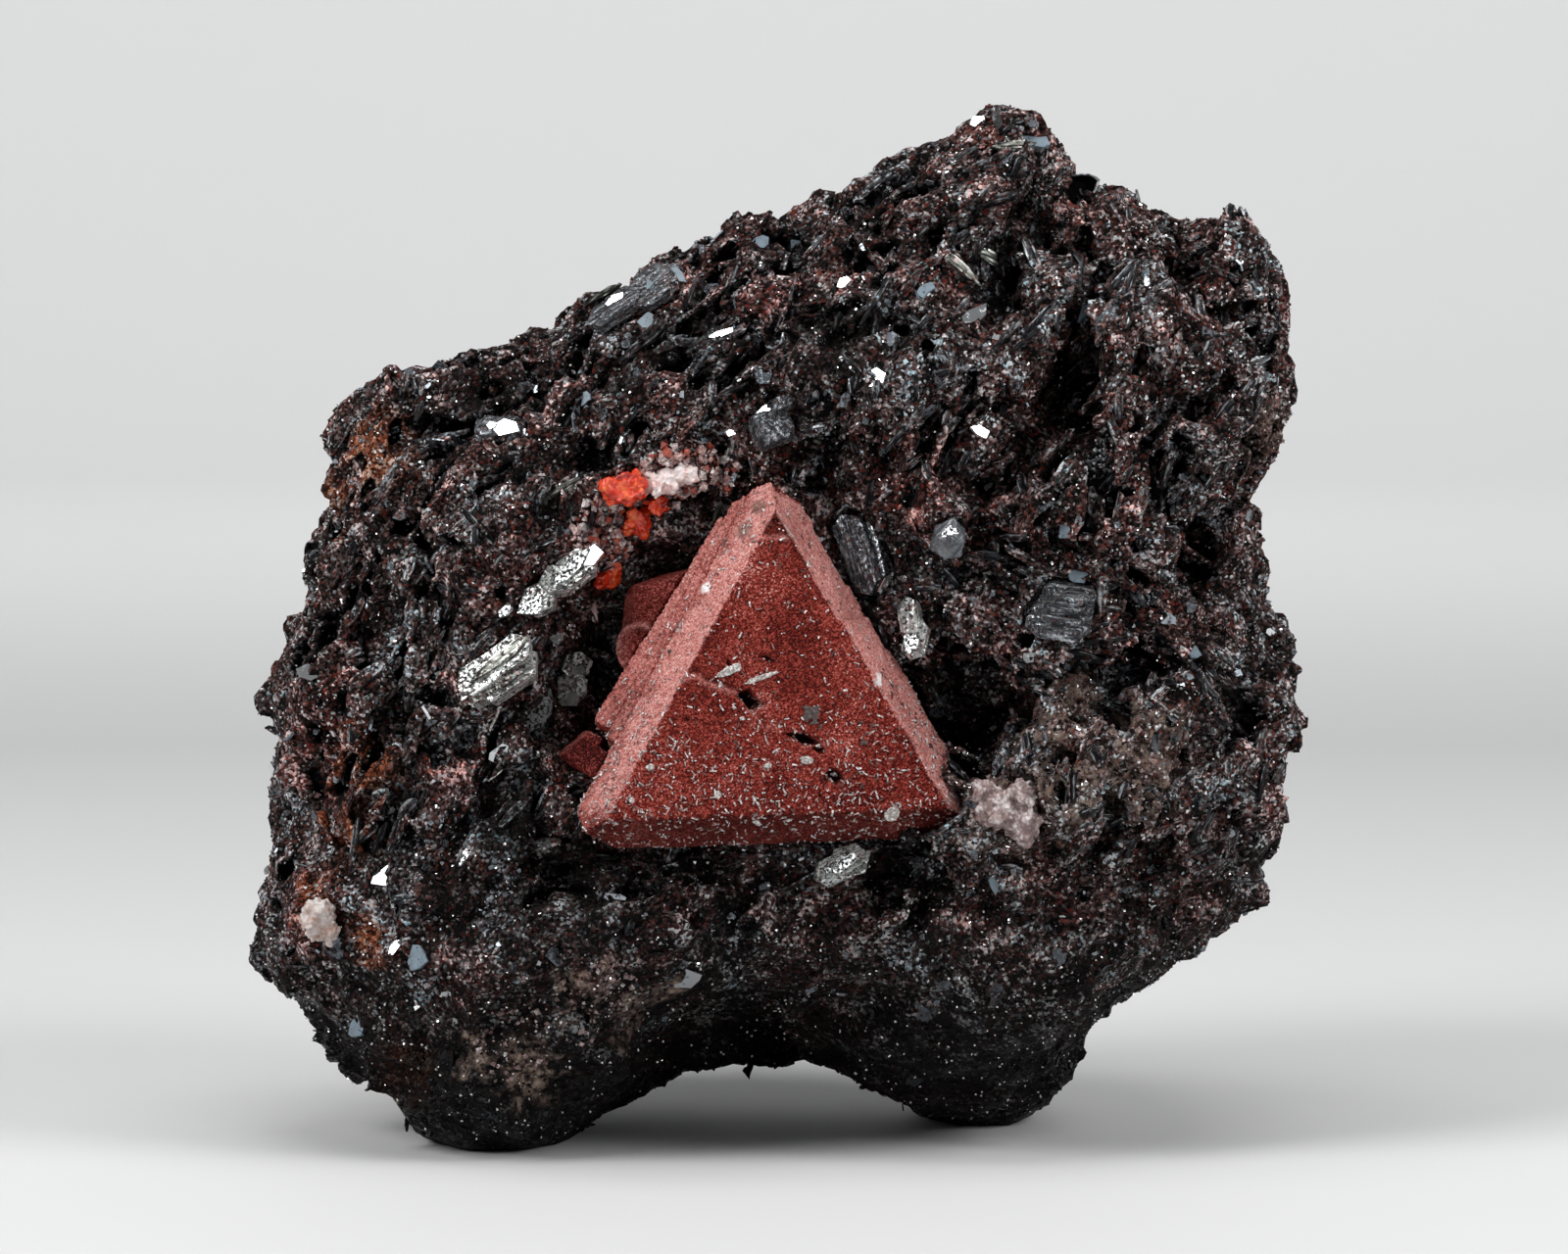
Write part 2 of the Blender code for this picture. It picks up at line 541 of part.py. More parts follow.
def foot(x, y, z, half_x, half_y, half_z):
    """Ellipsoid that swells the matrix down to the surface it stands on."""
    bm = bmesh.new()
    bmesh.ops.create_icosphere(bm, subdivisions=3, radius=1.0)
    bm.transform(Matrix.Translation((x, y, z)) @ Matrix.Diagonal((half_x, half_y, half_z, 1)))
    return mesh_object(bm, "foot")


def relief_depth(relief, x, z):
    """Total depth of the named hollows and swellings at a place."""
    total = 0.0
    for _, centre_x, centre_z, half_length, half_width, tilt, depth in relief:
        dx, dz = x - centre_x, z - centre_z
        if abs(dx) + abs(dz) > 3.5 * (half_length + half_width):
            continue
        angle = math.radians(tilt)
        along = (dx * math.cos(angle) + dz * math.sin(angle)) / half_length
        across = (dz * math.cos(angle) - dx * math.sin(angle)) / half_width
        total += depth * math.exp(-0.9 * (along * along + across * across) ** 1.3)
    return total


def flow_angle(x, z):
    """Direction, in degrees, in which the ridges and blades run at a place."""
    if x > SHELF_START and SHELF_HEIGHTS[0] < z < SHELF_HEIGHTS[1]:
        return SHELF_FLOW
    if z < LOW_HEIGHT:
        return LOW_FLOW
    return LEFT_FLOW if x < 0 else RIGHT_FLOW


def flow_noise(point, wavelength, stretch):
    """Noise that is stretched along the local flow."""
    angle = math.radians(flow_angle(point.x, point.z))
    along = (point.x * math.cos(angle) + point.z * math.sin(angle)) / (wavelength * stretch)
    across = (point.z * math.cos(angle) - point.x * math.sin(angle)) / wavelength
    return noise.noise(Vector((along, across, point.y / wavelength + 7.3 * wavelength)))


def lump_noise(point):
    """Rounded lumps with creases between them, from 0 in the creases to 1 on top."""
    distances, _ = noise.voronoi(point / LUMP_SIZE)
    return min(1.0, 1.3 * (distances[1] - distances[0]))


def seat_share(point):
    """1 inside the large crystal's outline seen from its front, falling to 0 outside it."""
    half_edge, bevels, matrix = main_crystal_frame()
    local = matrix.inverted() @ point
    outside = max(local[axis] - half_edge + bevels[axis] / math.sqrt(2) for axis in range(3))
    return max(0.0, min(1.0, 1.0 - (outside - SEAT_MARGIN) / SEAT_MARGIN))


def carve(obj):
    """Move the vertices by the named relief, then by the noise along the surface's normals."""
    mesh = obj.data
    for vertex in mesh.vertices:
        x, y, z = vertex.co
        side = min(1.0, abs(y) / SIDE_DEPTH)
        if y < 0:
            vertex.co.y += side * relief_depth(FRONT_RELIEF, x, z)
        else:
            vertex.co.y -= side * relief_depth(BACK_RELIEF, x, z)
    mesh.update()
    for vertex in mesh.vertices:
        point = vertex.co.copy()
        height = sum(size * flow_noise(point, wavelength, stretch)
                     for wavelength, stretch, size in NOISE_LAYERS)
        height += LUMP_HEIGHT * (lump_noise(point) - 0.6)
        fade = max(0.0, min(1.0, (point.z - REST_HEIGHT) / NOISE_FADE_HEIGHT))
        fade *= RIM_NOISE + (1 - RIM_NOISE) * abs(vertex.normal.y)
        moved = point + vertex.normal * height * fade
        if moved.y < SEAT_FRONT:
            moved.y += seat_share(moved) * (SEAT_FRONT - moved.y)
        vertex.co = moved


def cut_flat_base(obj):
    """Cut the feet off flat at the height they stand on."""
    bm = bmesh.new()
    bm.from_mesh(obj.data)
    geometry = bm.verts[:] + bm.edges[:] + bm.faces[:]
    cut = bmesh.ops.bisect_plane(bm, geom=geometry, dist=1e-4, plane_co=(0, 0, REST_HEIGHT),
                                 plane_no=(0, 0, -1), clear_outer=True)
    rim = [item for item in cut["geom_cut"] if isinstance(item, bmesh.types.BMEdge)]
    bmesh.ops.holes_fill(bm, edges=rim)
    bmesh.ops.triangulate(bm, faces=bm.faces)
    bm.to_mesh(obj.data)
    bm.free()


def rock():
    """The matrix with its relief, before the blades and the pockets."""
    obj = blank()
    for spec in FEET:
        combine(obj, foot(*spec), "UNION")
    apply_modifier(obj, "REMESH", mode="VOXEL", voxel_size=SHAPE_VOXEL)
    carve(obj)
    apply_modifier(obj, "REMESH", mode="VOXEL", voxel_size=DETAIL_VOXEL)
    keep_largest_island(obj)
    faces = sum(len(polygon.vertices) - 2 for polygon in obj.data.polygons)
    apply_modifier(obj, "DECIMATE", ratio=MATRIX_TRIANGLES / faces, use_collapse_triangulate=True)
    cut_flat_base(obj)
    return obj


def front_seats(obj):
    """Function that gives a place in front of the mesh's face, seen along +Y."""
    tree = BVHTree.FromPolygons([vertex.co for vertex in obj.data.vertices],
                                [polygon.vertices for polygon in obj.data.polygons])

    def seat(x, z, stand_out):
        hit = tree.ray_cast(Vector((x, -4 * FRONT_DEPTH, z)), Vector((0, 1, 0)))[0]
        return hit - Vector((0, stand_out, 0))

    return seat


def too_near(point, crystals):
    """Whether a blade at this place would crowd one of the separate crystals."""
    for planes, matrix in crystals:
        local = matrix.inverted() @ point
        outside = max(Vector(normal).normalized().dot(local) - distance for normal, distance in planes)
        if outside < BLADE_CLEARANCE:
            return True
    return False


def blade_places(mesh, crystals):
    """Seeded places for the fused blades: (point, normal) pairs, most of them on the front."""
    rng = random.Random(BLADE_SEED)
    side, lowest, highest = BLADE_BOUNDS
    faces = [polygon for polygon in mesh.polygons
             if abs(polygon.center.x) < side and lowest < polygon.center.z < highest]
    wanted = {True: FRONT_BLADES, False: OTHER_BLADES}
    weights = [polygon.area for polygon in faces]
    places = []
    while sum(wanted.values()) > 0:
        polygon = rng.choices(faces, weights)[0]
        is_front = polygon.normal.y < -0.25
        if wanted[is_front] == 0 or too_near(polygon.center, crystals):
            continue
        wanted[is_front] -= 1
        places.append((polygon.center.copy(), polygon.normal.copy()))
    return places


def blade_shape(point, normal, rng):
    """One blade that follows the flow and stands partly out of the surface."""
    angle = math.radians(flow_angle(point.x, point.z) + rng.gauss(0, BLADE_SCATTER))
    along = Vector((math.cos(angle), 0, math.sin(angle))) + normal * rng.uniform(-0.1, 0.35)
    tilt = Vector([rng.gauss(0, BLADE_TILT) for _ in range(3)])
    facing = normal + tilt
    length = rng.uniform(*BLADE_LENGTH)
    width = rng.uniform(*BLADE_WIDTH)
    thickness = rng.uniform(*BLADE_THICKNESS)
    centre = point + normal * rng.uniform(-0.15, 0.2)
    return tabular(length, width, thickness), placed(centre, facing, along)


def add_blades(obj, crystals):
    """Fuse the small hematite blades to the matrix."""
    rng = random.Random(BLADE_SEED + 1)
    blades = [blade_shape(point, normal, rng) for point, normal in blade_places(obj.data, crystals)]
    for planes, matrix in blades:
        combine(obj, shape_object(planes, matrix), "UNION")


# ---- Materials and nodes ---------------------------------------------------------------------------
MATERIALS = {
    # name: base colour, metallic, roughness, transmission
    "matrix": ((0.075, 0.035, 0.032), 0.25, 0.6, 0.0),
    "hematite": ((0.16, 0.165, 0.18), 0.9, 0.25, 0.0),
    "zunyite": ((0.30, 0.045, 0.028), 0.0, 0.45, 0.0),
    "zunyite_dark": ((0.16, 0.022, 0.016), 0.0, 0.5, 0.0),
    "orange": ((0.85, 0.07, 0.02), 0.0, 0.15, 0.5),
    "quartz_clear": ((0.75, 0.68, 0.66), 0.0, 0.08, 0.8),
    "quartz_pink": ((0.62, 0.36, 0.33), 0.0, 0.3, 0.3),
    "quartz_white": ((0.72, 0.62, 0.57), 0.0, 0.4, 0.2),
    "quartz_grey": ((0.30, 0.30, 0.32), 0.0, 0.2, 0.4),
}


def material(name):
    """Principled material of the palette."""
    existing = bpy.data.materials.get(name)
    if existing:
        return existing
    colour, metallic, roughness, transmission = MATERIALS[name]
    made = bpy.data.materials.new(name)
    made.use_nodes = True
    shader = made.node_tree.nodes["Principled BSDF"]
    shader.inputs["Base Color"].default_value = (*colour, 1)
    shader.inputs["Metallic"].default_value = metallic
    shader.inputs["Roughness"].default_value = roughness
    shader.inputs["Transmission Weight"].default_value = transmission
    return made


def add_node(obj, name, material_name):
    """Name the object, give it its material and scale its mesh to metres."""
    obj.name = name
    obj.data.name = name
    obj.data.materials.clear()
    obj.data.materials.append(material(material_name))
    obj.data.transform(Matrix.Scale(METRES_PER_MM, 4) @ Matrix.Translation(TO_ORIGIN))


def clear_scene():
    """Remove everything that is in the scene."""
    for obj in list(bpy.data.objects):
        bpy.data.objects.remove(obj)


def main():
    clear_scene()
    matrix = rock()
    nodes = crystal_nodes(front_seats(matrix))
    add_blades(matrix, [shape for _, _, shapes in nodes for shape in shapes])
    made = []
    for name, material_name, shapes in nodes:
        crystal = joined_shapes(shapes)
        for _, _, earlier_shapes in made:
            for planes, place in earlier_shapes:
                combine(crystal, shape_object(planes, place, GAP), "DIFFERENCE")
        for planes, place in shapes:
            combine(matrix, shape_object(planes, place, GAP), "DIFFERENCE")
        made.append((name, crystal, shapes))
        keep_largest_island(crystal)
        add_node(crystal, name, material_name)
    keep_largest_island(matrix)
    add_node(matrix, "matrix", "matrix")


main()
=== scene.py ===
"""Looks of the zunyite specimen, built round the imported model.

Frame: +Z up, the front faces -Y, and the origin is under the middle of the specimen. Lengths are in
millimetres here; finish_piece() scales each finished mesh to metres. Colours are linear red, green, blue.
"""
import json
import math

import bmesh
import bpy
import numpy as np
from mathutils import Matrix, Vector, noise
from mathutils.bvhtree import BVHTree

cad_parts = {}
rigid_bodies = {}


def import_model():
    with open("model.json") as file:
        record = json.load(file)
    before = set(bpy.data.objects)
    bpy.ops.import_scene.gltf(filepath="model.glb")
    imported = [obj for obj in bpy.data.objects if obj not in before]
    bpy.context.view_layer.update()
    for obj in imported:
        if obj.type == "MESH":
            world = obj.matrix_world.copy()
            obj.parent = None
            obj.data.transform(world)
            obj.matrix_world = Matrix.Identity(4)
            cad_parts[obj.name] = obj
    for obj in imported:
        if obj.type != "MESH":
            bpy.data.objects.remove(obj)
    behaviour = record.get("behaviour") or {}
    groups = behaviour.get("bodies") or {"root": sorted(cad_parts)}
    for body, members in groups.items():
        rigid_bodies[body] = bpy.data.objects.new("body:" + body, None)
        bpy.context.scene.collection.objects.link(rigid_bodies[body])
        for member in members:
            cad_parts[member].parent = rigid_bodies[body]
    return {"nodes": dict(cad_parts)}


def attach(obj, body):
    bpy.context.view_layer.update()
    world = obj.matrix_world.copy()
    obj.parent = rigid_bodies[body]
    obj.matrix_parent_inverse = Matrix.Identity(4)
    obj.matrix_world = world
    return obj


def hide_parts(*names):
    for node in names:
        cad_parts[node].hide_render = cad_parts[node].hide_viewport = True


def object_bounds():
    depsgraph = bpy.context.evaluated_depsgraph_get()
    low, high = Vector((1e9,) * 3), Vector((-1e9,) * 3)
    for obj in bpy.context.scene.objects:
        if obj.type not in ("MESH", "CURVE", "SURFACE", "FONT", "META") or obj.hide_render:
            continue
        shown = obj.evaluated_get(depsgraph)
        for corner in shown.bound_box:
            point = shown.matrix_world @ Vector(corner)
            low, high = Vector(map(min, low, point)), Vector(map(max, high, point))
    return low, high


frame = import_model()
cad_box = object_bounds()

MM = 0.001

# ---- Camera and studio ----
CAMERA_TARGET = Vector((0.1, -1.6, 21.7))
CAMERA_DISTANCE = 279.0
CAMERA_ELEVATION = 4.0         # degrees
CAMERA_LENS = 150.0
FLOOR_RADIUS = 900.0
WALL_HEIGHT = 1100.0
WALL_BEND = 300.0
BEND_STEPS = 12
# Soft boxes: name, place, size, power and what each one is aimed at.
SOFT_BOXES = [
    ("key_left", (-260, -190, 260), (160, 220), 1.2, CAMERA_TARGET),
    ("key_right", (280, -150, 210), (160, 220), 0.85, CAMERA_TARGET),
    ("top", (0, -60, 380), (260, 200), 0.6, CAMERA_TARGET),
    ("wall", (0, 250, 500), (500, 250), 4.0, Vector((0, 880, 420))),
]
SKY_COLOUR, SKY_STRENGTH = (0.8, 0.85, 0.9, 1), 0.14

# ---- Rock surface ----
ROCK_SEED = 611
CORE_VOXEL = 0.4
CORE_SINK = 1.5                # depth of the core under the surface where the plates are densest
CORE_FIXED = 0.35              # the core keeps its surface up to this distance from the crystals
CORE_FADE = 1.2                # and sinks more and more over this distance from there, and over the floor
# How platy the rock is, as a share of the upper front: at least, and on the back; and where it grows, as
# the start and width of the rise, over the height, towards the front and towards the back.
LEAST_PLATES = 0.18
BACK_PLATES = 0.45
PLATY_HEIGHT = (9.0, 6.0)
PLATY_FRONT = (1.5, 4.5)
PLATY_BACK = (3.0, 4.5)
PACKET_COUNT = 560             # packets of plates that stand side by side in the core
PACKET_PLATES = (2, 5)
PACKET_CLEARANCE = 0.9         # distance from the crystals
PLATE_LENGTH = (1.5, 3.2)
PLATE_WIDTH = (1.3, 2.1)       # measured into the rock
PLATE_THICKNESS = (0.34, 0.6)
PLATE_SPACING = (0.75, 1.15)
PLATE_RISE = (-0.5, 0.15)      # height of the outer edge over the CAD solid's surface
# Lumps of the crust: number, length, width and thickness as shares of the length, and the height of
# their tops over the CAD solid's surface.
MOUNDS = (950, (1.6, 3.6), (0.4, 0.75), (0.3, 0.5), (-0.6, 0.15))
SMALL_LUMPS = (1500, (0.35, 0.95), (0.6, 1.0), (0.4, 0.8), (-1.3, 0.0))
FEET_HEIGHT = 2.5
UNDERSIDE = -0.35              # a surface that faces down more than this has no plates
UNDERSIDE_HEIGHT = 8.0         # below this height
FORM_REACH = 0.15              # what stands out further than this is squeezed towards the CAD solid
FORM_SQUEEZE = 0.12
ROCK_VOXEL = 0.15
ROCK_TRIANGLES = 196000
FOOT_FADE = 0.5                # the relief grows from nothing over this height
BOX_MARGIN = 0.3               # how far the rock may reach past the CAD box, but not under the floor
# Two knobs of the CAD solid, on the left edge and under the arch, are pressed in to a share of their reach.
LEFT_EDGE = -20.3
LEFT_EDGE_HEIGHTS = (22.0, 27.0)
ARCH_KNOB = (0.2, -4.4)
ARCH_KNOB_RADIUS = 1.8
ARCH_HEIGHT = 3.3
KNOB_SHARE = 0.12
# Relief of the surface: kind, size of a feature and height.
ROCK_RELIEF = [("lumps", 0.9, 0.1), ("lumps", 0.38, 0.08), ("noise", 0.75, 0.08), ("noise", 0.25, 0.08)]
OPEN_RAYS = 7                  # rays per vertex that measure how open a place is
OPEN_REACH = 3.0
OPEN_START = 0.12              # height over the surface at which the rays start
OPEN_CONE = 1.05               # over 1, so that no ray starts into the surface

# Direction of the ridges, in degrees, on each part of the front.
FLOW_LEFT, FLOW_RIGHT, FLOW_SHELF, FLOW_LOW = 62.0, 66.0, -20.0, 20.0
SHELF_START, SHELF_LOW, SHELF_HIGH, LOW_HEIGHT = 5.0, 18.0, 26.5, 13.0

# Stains on the rock, and the spots of painted shade where it is darkest: centre and radius.
RUST_SPOTS = [
    ((-17.4, -8.5, 29.6), 1.5), ((-17.6, -11.0, 16.6), 1.3), ((-18.7, -10.5, 14.2), 1.6),
    ((-15.6, -9.9, 3.6), 1.4), ((-17.6, -11.4, 9.3), 1.0), ((-18.9, -6.5, 27.0), 1.2),
    ((-19.4, -9.0, 10.8), 0.9),
]
SHADE_SPOTS = [
    ((2.1, -13.6, 34.3), 2.0), ((-3.9, -10.5, 34.3), 1.8), ((-6.3, -11.9, 32.1), 1.0),
    ((-12.1, -7.7, 31.7), 1.6), ((-11.2, -12.4, 14.2), 1.5), ((-7.6, -12.2, 12.1), 1.8),
    ((-13.6, -12.3, 11.9), 1.0), ((12.9, -13.1, 20.5), 1.0),
]
RED_SPOTS = [
    ((-19.3, -8.5, 16.4), 2.6), ((-20.3, -8.9, 10.3), 1.8), ((-13.6, -12.3, 16.6), 1.2),
    ((-7.5, -13.7, 7.6), 1.2), ((-18.9, -10.7, 19.5), 1.2), ((8.6, -5.5, 42.4), 1.0),
    ((2.8, -12.0, 37.2), 0.7), ((-0.8, -11.5, 36.3), 1.5), ((-7.5, -13.0, 26.2), 1.2),
    ((-3.0, -12.8, 28.8), 1.2), ((5.5, -12.8, 28.0), 1.3), ((16.5, -9.0, 34.0), 1.6),
    ((-14.0, -10.5, 31.5), 1.5),
]
PALE_SPOTS = [
    ((-8.0, -13.7, 7.4), 1.1), ((-5.6, -11.2, 6.3), 1.0), ((-10.4, -12.3, 3.9), 1.3),
    ((-12.6, -12.6, 4.6), 0.8), ((-4.4, -11.2, 6.9), 0.7), ((20.4, -9.0, 30.0), 1.2),
    ((13.3, -13.8, 17.0), 2.6), ((9.0, -14.3, 15.6), 1.8),
]

# ---- Flakes and grains on the rock: number, and smallest and largest size ----
FLAKE_SEED = 902
BLADE_COUNT = 1200
BLADE_SIZE = (0.5, 1.5)
LATH_COUNT = 1900
LATH_LENGTH = (0.8, 2.6)
LATH_WIDTH = (0.22, 0.5)
LATH_FACING = -0.45            # laths lie only where the solid's normal has less y than this
LATH_LEFT = -18.5              # and right of this
CHIP_COUNT = 6500
CHIP_SIZE = (0.12, 0.42)
SPARK_COUNT = 7000
SPARK_SIZE = (0.06, 0.15)
GRAIN_COUNT = 13000
GRAIN_SIZE = (0.09, 0.24)

# ---- Single plates that show on the front: place (x, z), length, width, direction in degrees ----
PLATE_GROWTH = 1.15            # a polygon is smaller than the ellipse round it, so it starts larger
# Directions halfway between the lens and each large soft box, left and right of GLINT_CHANGE.
GLINT_LEFT = Vector((-0.365, -0.845, 0.388))
GLINT_RIGHT = Vector((0.434, -0.835, 0.337))
GLINT_CHANGE = 6
WHITE_FACETS = [
    ((-7.75, 25.38), 0.85, 0.75, 40), ((-8.4, 20.42), 0.7, 0.5, -30), ((-8.81, 20.12), 0.32, 0.26, 0),
    ((-8.81, 19.24), 1.0, 0.8, -15), ((3.8, 32.77), 0.85, 0.7, 60), ((8.1, 30.55), 0.7, 0.45, -20),
    ((2.55, 36.6), 0.62, 0.42, 35), ((-2.4, 34.48), 1.05, 0.32, 12), ((8.25, 43.2), 0.75, 0.55, 20),
    ((-11.35, 30.55), 1.05, 0.65, -5), ((-11.95, 30.65), 0.4, 0.35, 0), ((-9.28, 21.95), 0.5, 0.45, 0),
    ((-0.57, 31.44), 1.2, 0.28, 25), ((0.52, 30.2), 0.5, 0.3, -50), ((-2.05, 30.4), 0.55, 0.25, -5),
    ((-6.9, 35.75), 0.75, 0.5, 20),
]
STEEL_FACETS = [
    ((-15.0, 8.7), 1.25, 0.85, 60), ((-17.67, 5.66), 1.2, 0.8, 20), ((8.75, 11.9), 0.6, 0.35, 90),
    ((12.48, 35.5), 1.15, 0.4, 80), ((5.88, 36.3), 0.6, 0.4, 30), ((11.69, 26.57), 0.75, 0.65, 50),
    ((17.06, 21.3), 0.7, 0.45, 20), ((10.55, 42.34), 1.05, 0.55, 15), ((9.67, 42.13), 0.5, 0.4, 0),
    ((12.03, 24.54), 0.8, 0.5, 20), ((-5.56, 34.94), 0.55, 0.5, 0), ((-0.92, 38.2), 0.7, 0.5, 10),
    ((0.49, 38.1), 0.7, 0.5, -40), ((-5.47, 36.38), 0.35, 0.5, 0), ((-4.34, 36.9), 0.7, 0.4, -30),
    ((-8.0, 31.8), 0.6, 0.3, 80),
]
SPECKLED_FACETS = [
    ((-8.59, 24.94), 1.7, 0.45, 50), ((-10.24, 23.44), 1.1, 0.9, 10), ((-11.36, 23.26), 0.6, 0.7, 0),
    ((-10.18, 18.8), 1.7, 1.0, 70), ((5.33, 21.9), 1.2, 0.55, -75), ((2.5, 12.75), 1.3, 0.6, 25),
    ((-13.0, 13.0), 0.9, 0.3, 65), ((6.83, 26.5), 0.8, 0.35, 20),
]
PALE_LATHS = [
    ((-11.5, 21.25), 2.8, 0.45, 39), ((-11.95, 20.05), 2.6, 0.42, 31), ((-8.92, 28.2), 1.5, 0.24, 35),
    ((-8.75, 27.9), 1.4, 0.24, 38), ((-2.6, 27.1), 1.1, 0.25, 65), ((8.6, 37.6), 2.2, 0.55, -15),
    ((7.3, 37.2), 1.7, 0.4, -25), ((9.7, 42.2), 1.6, 0.35, 10), ((-7.6, 35.9), 1.5, 0.25, 35),
]
PALE_NEEDLES = [
    ((-11.75, 18.73), 1.15, 0.08, 66), ((-11.8, 16.26), 1.2, 0.08, 38), ((13.5, 37.25), 0.55, 0.09, 65),
    ((14.0, 37.3), 0.7, 0.09, 60),
]
# Leaf-shaped hollow, dark with painted shade, with a silvery rim brightened by painted highlight: place, half
# length and half width, direction, height over the rock, and its section from the foot over the rim to the
# bottom as (share of the size, depth, 1 on the rim).
LEAF_PLACE = (12.3, 40.3)
LEAF_SIZE = (1.2, 0.66)
LEAF_TURN = 33.0
LEAF_LIFT = 0.8
LEAF_POINTS = 14
LEAF_PROFILE = [
    (0.8, 1.6, 0), (1.0, 0.05, 0.6), (0.97, 0.0, 1), (0.91, 0.02, 1), (0.85, 0.25, 0), (0.5, 0.6, 0),
]
# Heaps of quartz grains: centre and radius.
PINK_HEAPS = [
    ((-5.9, -13.0, 27.2), 1.1), ((-4.4, -12.7, 28.5), 1.1), ((-7.2, -12.5, 26.6), 1.0),
    ((-2.8, -12.4, 28.9), 0.8), ((-6.9, -11.3, 25.3), 0.7),
]
MAUVE_HEAPS = [
    ((9.2, -14.2, 15.2), 1.7), ((13.3, -13.8, 17.0), 2.2), ((7.9, -13.8, 15.9), 0.9),
    ((6.9, -12.9, 14.2), 0.9), ((-7.2, -13.4, 7.0), 1.6), ((-11.0, -12.5, 5.2), 1.4),
    ((20.4, -9.0, 30.0), 1.4),
]
PINK_GRAINS = (600, 0.14, 0.55)          # number and sizes
MAUVE_GRAINS = (900, 0.1, 0.36)

# ---- Large crystal: places on the front face are (right, up) from its centre ----
FACE_CENTRE = Vector((-0.15, -15.0, 19.15))
FACE_YAW = math.radians(15.0)
FACE_RIGHT = Vector((math.cos(FACE_YAW), math.sin(FACE_YAW), 0))
FACE_OUT = Vector((math.sin(FACE_YAW), -math.cos(FACE_YAW), 0))
LEFT_BEVEL = Vector((-0.5, -0.75, 0.43))
RIGHT_BEVEL = Vector((0.81, -0.4, 0.43))
BOTTOM_BEVEL = Vector((0.2, -0.55, -0.81))
CRYSTAL_VOXEL = 0.1
# The lower left of the face stands out of it, up to this line.
LEDGE_LINE = [(-4.8, 1.5), (-3.5, 1.57), (-3.1, 1.36), (-1.9, 0.9), (-1.5, 0.7), (-1.1, 0.03), (-0.6, -0.6)]
LEDGE_RISE = 0.22
TIP_LINE = 7.2                 # above this height the face is set back
TIP_DROP = 0.16
NOTCH_HEIGHT = 22.85           # above this height the right side is set back
NOTCH_DEPTH = 0.18
# Pits in the face: place, half sizes, depth.
PITS = [
    ((-1.14, 0.52), (0.42, 0.34), 0.75), ((-1.5, 0.66), (0.3, 0.12), 0.3),
    ((1.14, -1.11), (0.62, 0.2), 0.6), ((1.8, -1.58), (0.26, 0.13), 0.35),
    ((2.44, -2.69), (0.34, 0.28), 0.45), ((2.05, -2.75), (0.2, 0.14), 0.3),
    ((-0.45, 2.22), (0.3, 0.1), 0.3), ((1.8, -3.43), (0.07, 0.26), 0.12), ((-2.05, 2.05), (0.1, 0.16), 0.2),
    ((6.0, -2.05), (0.12, 0.12), 0.25), ((-3.85, -0.2), (0.14, 0.1), 0.15),
]
RED_CORNER = ((-7.6, -16.6, 13.9), 1.1)        # the clean lower left corner: centre and radius
# Other minerals in the face: place, length, width, direction in degrees.
PALE_RODS = [
    ((-2.03, 1.77), 1.15, 0.34, 23), ((-0.77, 1.42), 1.5, 0.22, 18), ((-2.45, 1.15), 0.35, 0.14, 80),
    ((-1.0, -3.57), 0.75, 0.09, -58), ((4.1, -4.1), 0.3, 0.07, -60),
]
PALE_SPECKS = [
    ((1.24, -1.96), 0.62, 0.36, -8), ((4.84, -4.25), 0.72, 0.66, 0), ((-5.42, -2.08), 0.36, 0.24, 25),
    ((-6.2, -3.41), 0.24, 0.26, 0), ((-2.6, -3.26), 0.28, 0.34, 0), ((-0.5, -2.14), 0.34, 0.2, 15),
    ((-1.56, -0.19), 0.2, 0.17, 0), ((-1.92, 0.28), 0.16, 0.14, 0), ((-0.8, -4.5), 0.5, 0.22, -30),
    ((2.44, -2.62), 0.26, 0.16, 20), ((-5.75, -1.59), 0.2, 0.34, 0), ((0.6, -4.45), 0.3, 0.12, 20),
]
DARK_SPECKS = [
    ((1.3, -0.02), 0.46, 0.32, 20), ((1.56, -0.2), 0.44, 0.26, 62), ((1.16, 0.16), 0.34, 0.2, -15),
    ((1.6, 0.14), 0.36, 0.2, 40), ((1.2, -0.24), 0.3, 0.24, -50), ((1.5, -0.44), 0.36, 0.16, 5),
    ((1.78, -0.6), 0.4, 0.1, 60), ((3.58, -1.33), 0.3, 0.22, 0), ((-4.3, 2.5), 0.2, 0.13, 30),
    ((3.96, -0.62), 0.34, 0.08, 60), ((5.1, 0.9), 0.2, 0.16, 0),
]
# Stains near the tip and white spots on the bevels, as places in the frame: centre, radius.
BROWN_STAINS = [((-0.4, -15.2, 26.8), 0.22), ((-1.45, -14.5, 26.5), 0.34), ((-0.95, -14.5, 27.5), 0.28)]
GREY_STAINS = [((0.72, -14.9, 26.6), 0.4), ((-2.21, -14.52, 25.72), 0.12), ((-4.2, -14.9, 22.6), 0.16)]
WHITE_STAINS = [((3.95, -13.65, 20.37), 0.26), ((-3.05, -14.75, 24.18), 0.2)]
FLECK_SEED = 417
FLECK_COUNT = 2900
FLECK_SIZE = (0.09, 0.4)

# ---- Smaller crystals ----
SIDE_VOXEL = 0.08
# A curled ledge on the upper side crystal: centre (x, z), radius, width and height; and how high the
# crystal reaches above the curl, how steeply its top rises to the right, and how much of the rest goes.
CURL_LEDGE = ((-5.75, 21.5), 0.8, 0.12, 0.3)
SIDE_TOP = 23.9
SIDE_SLOPE = 0.4
SIDE_CUT = 0.85
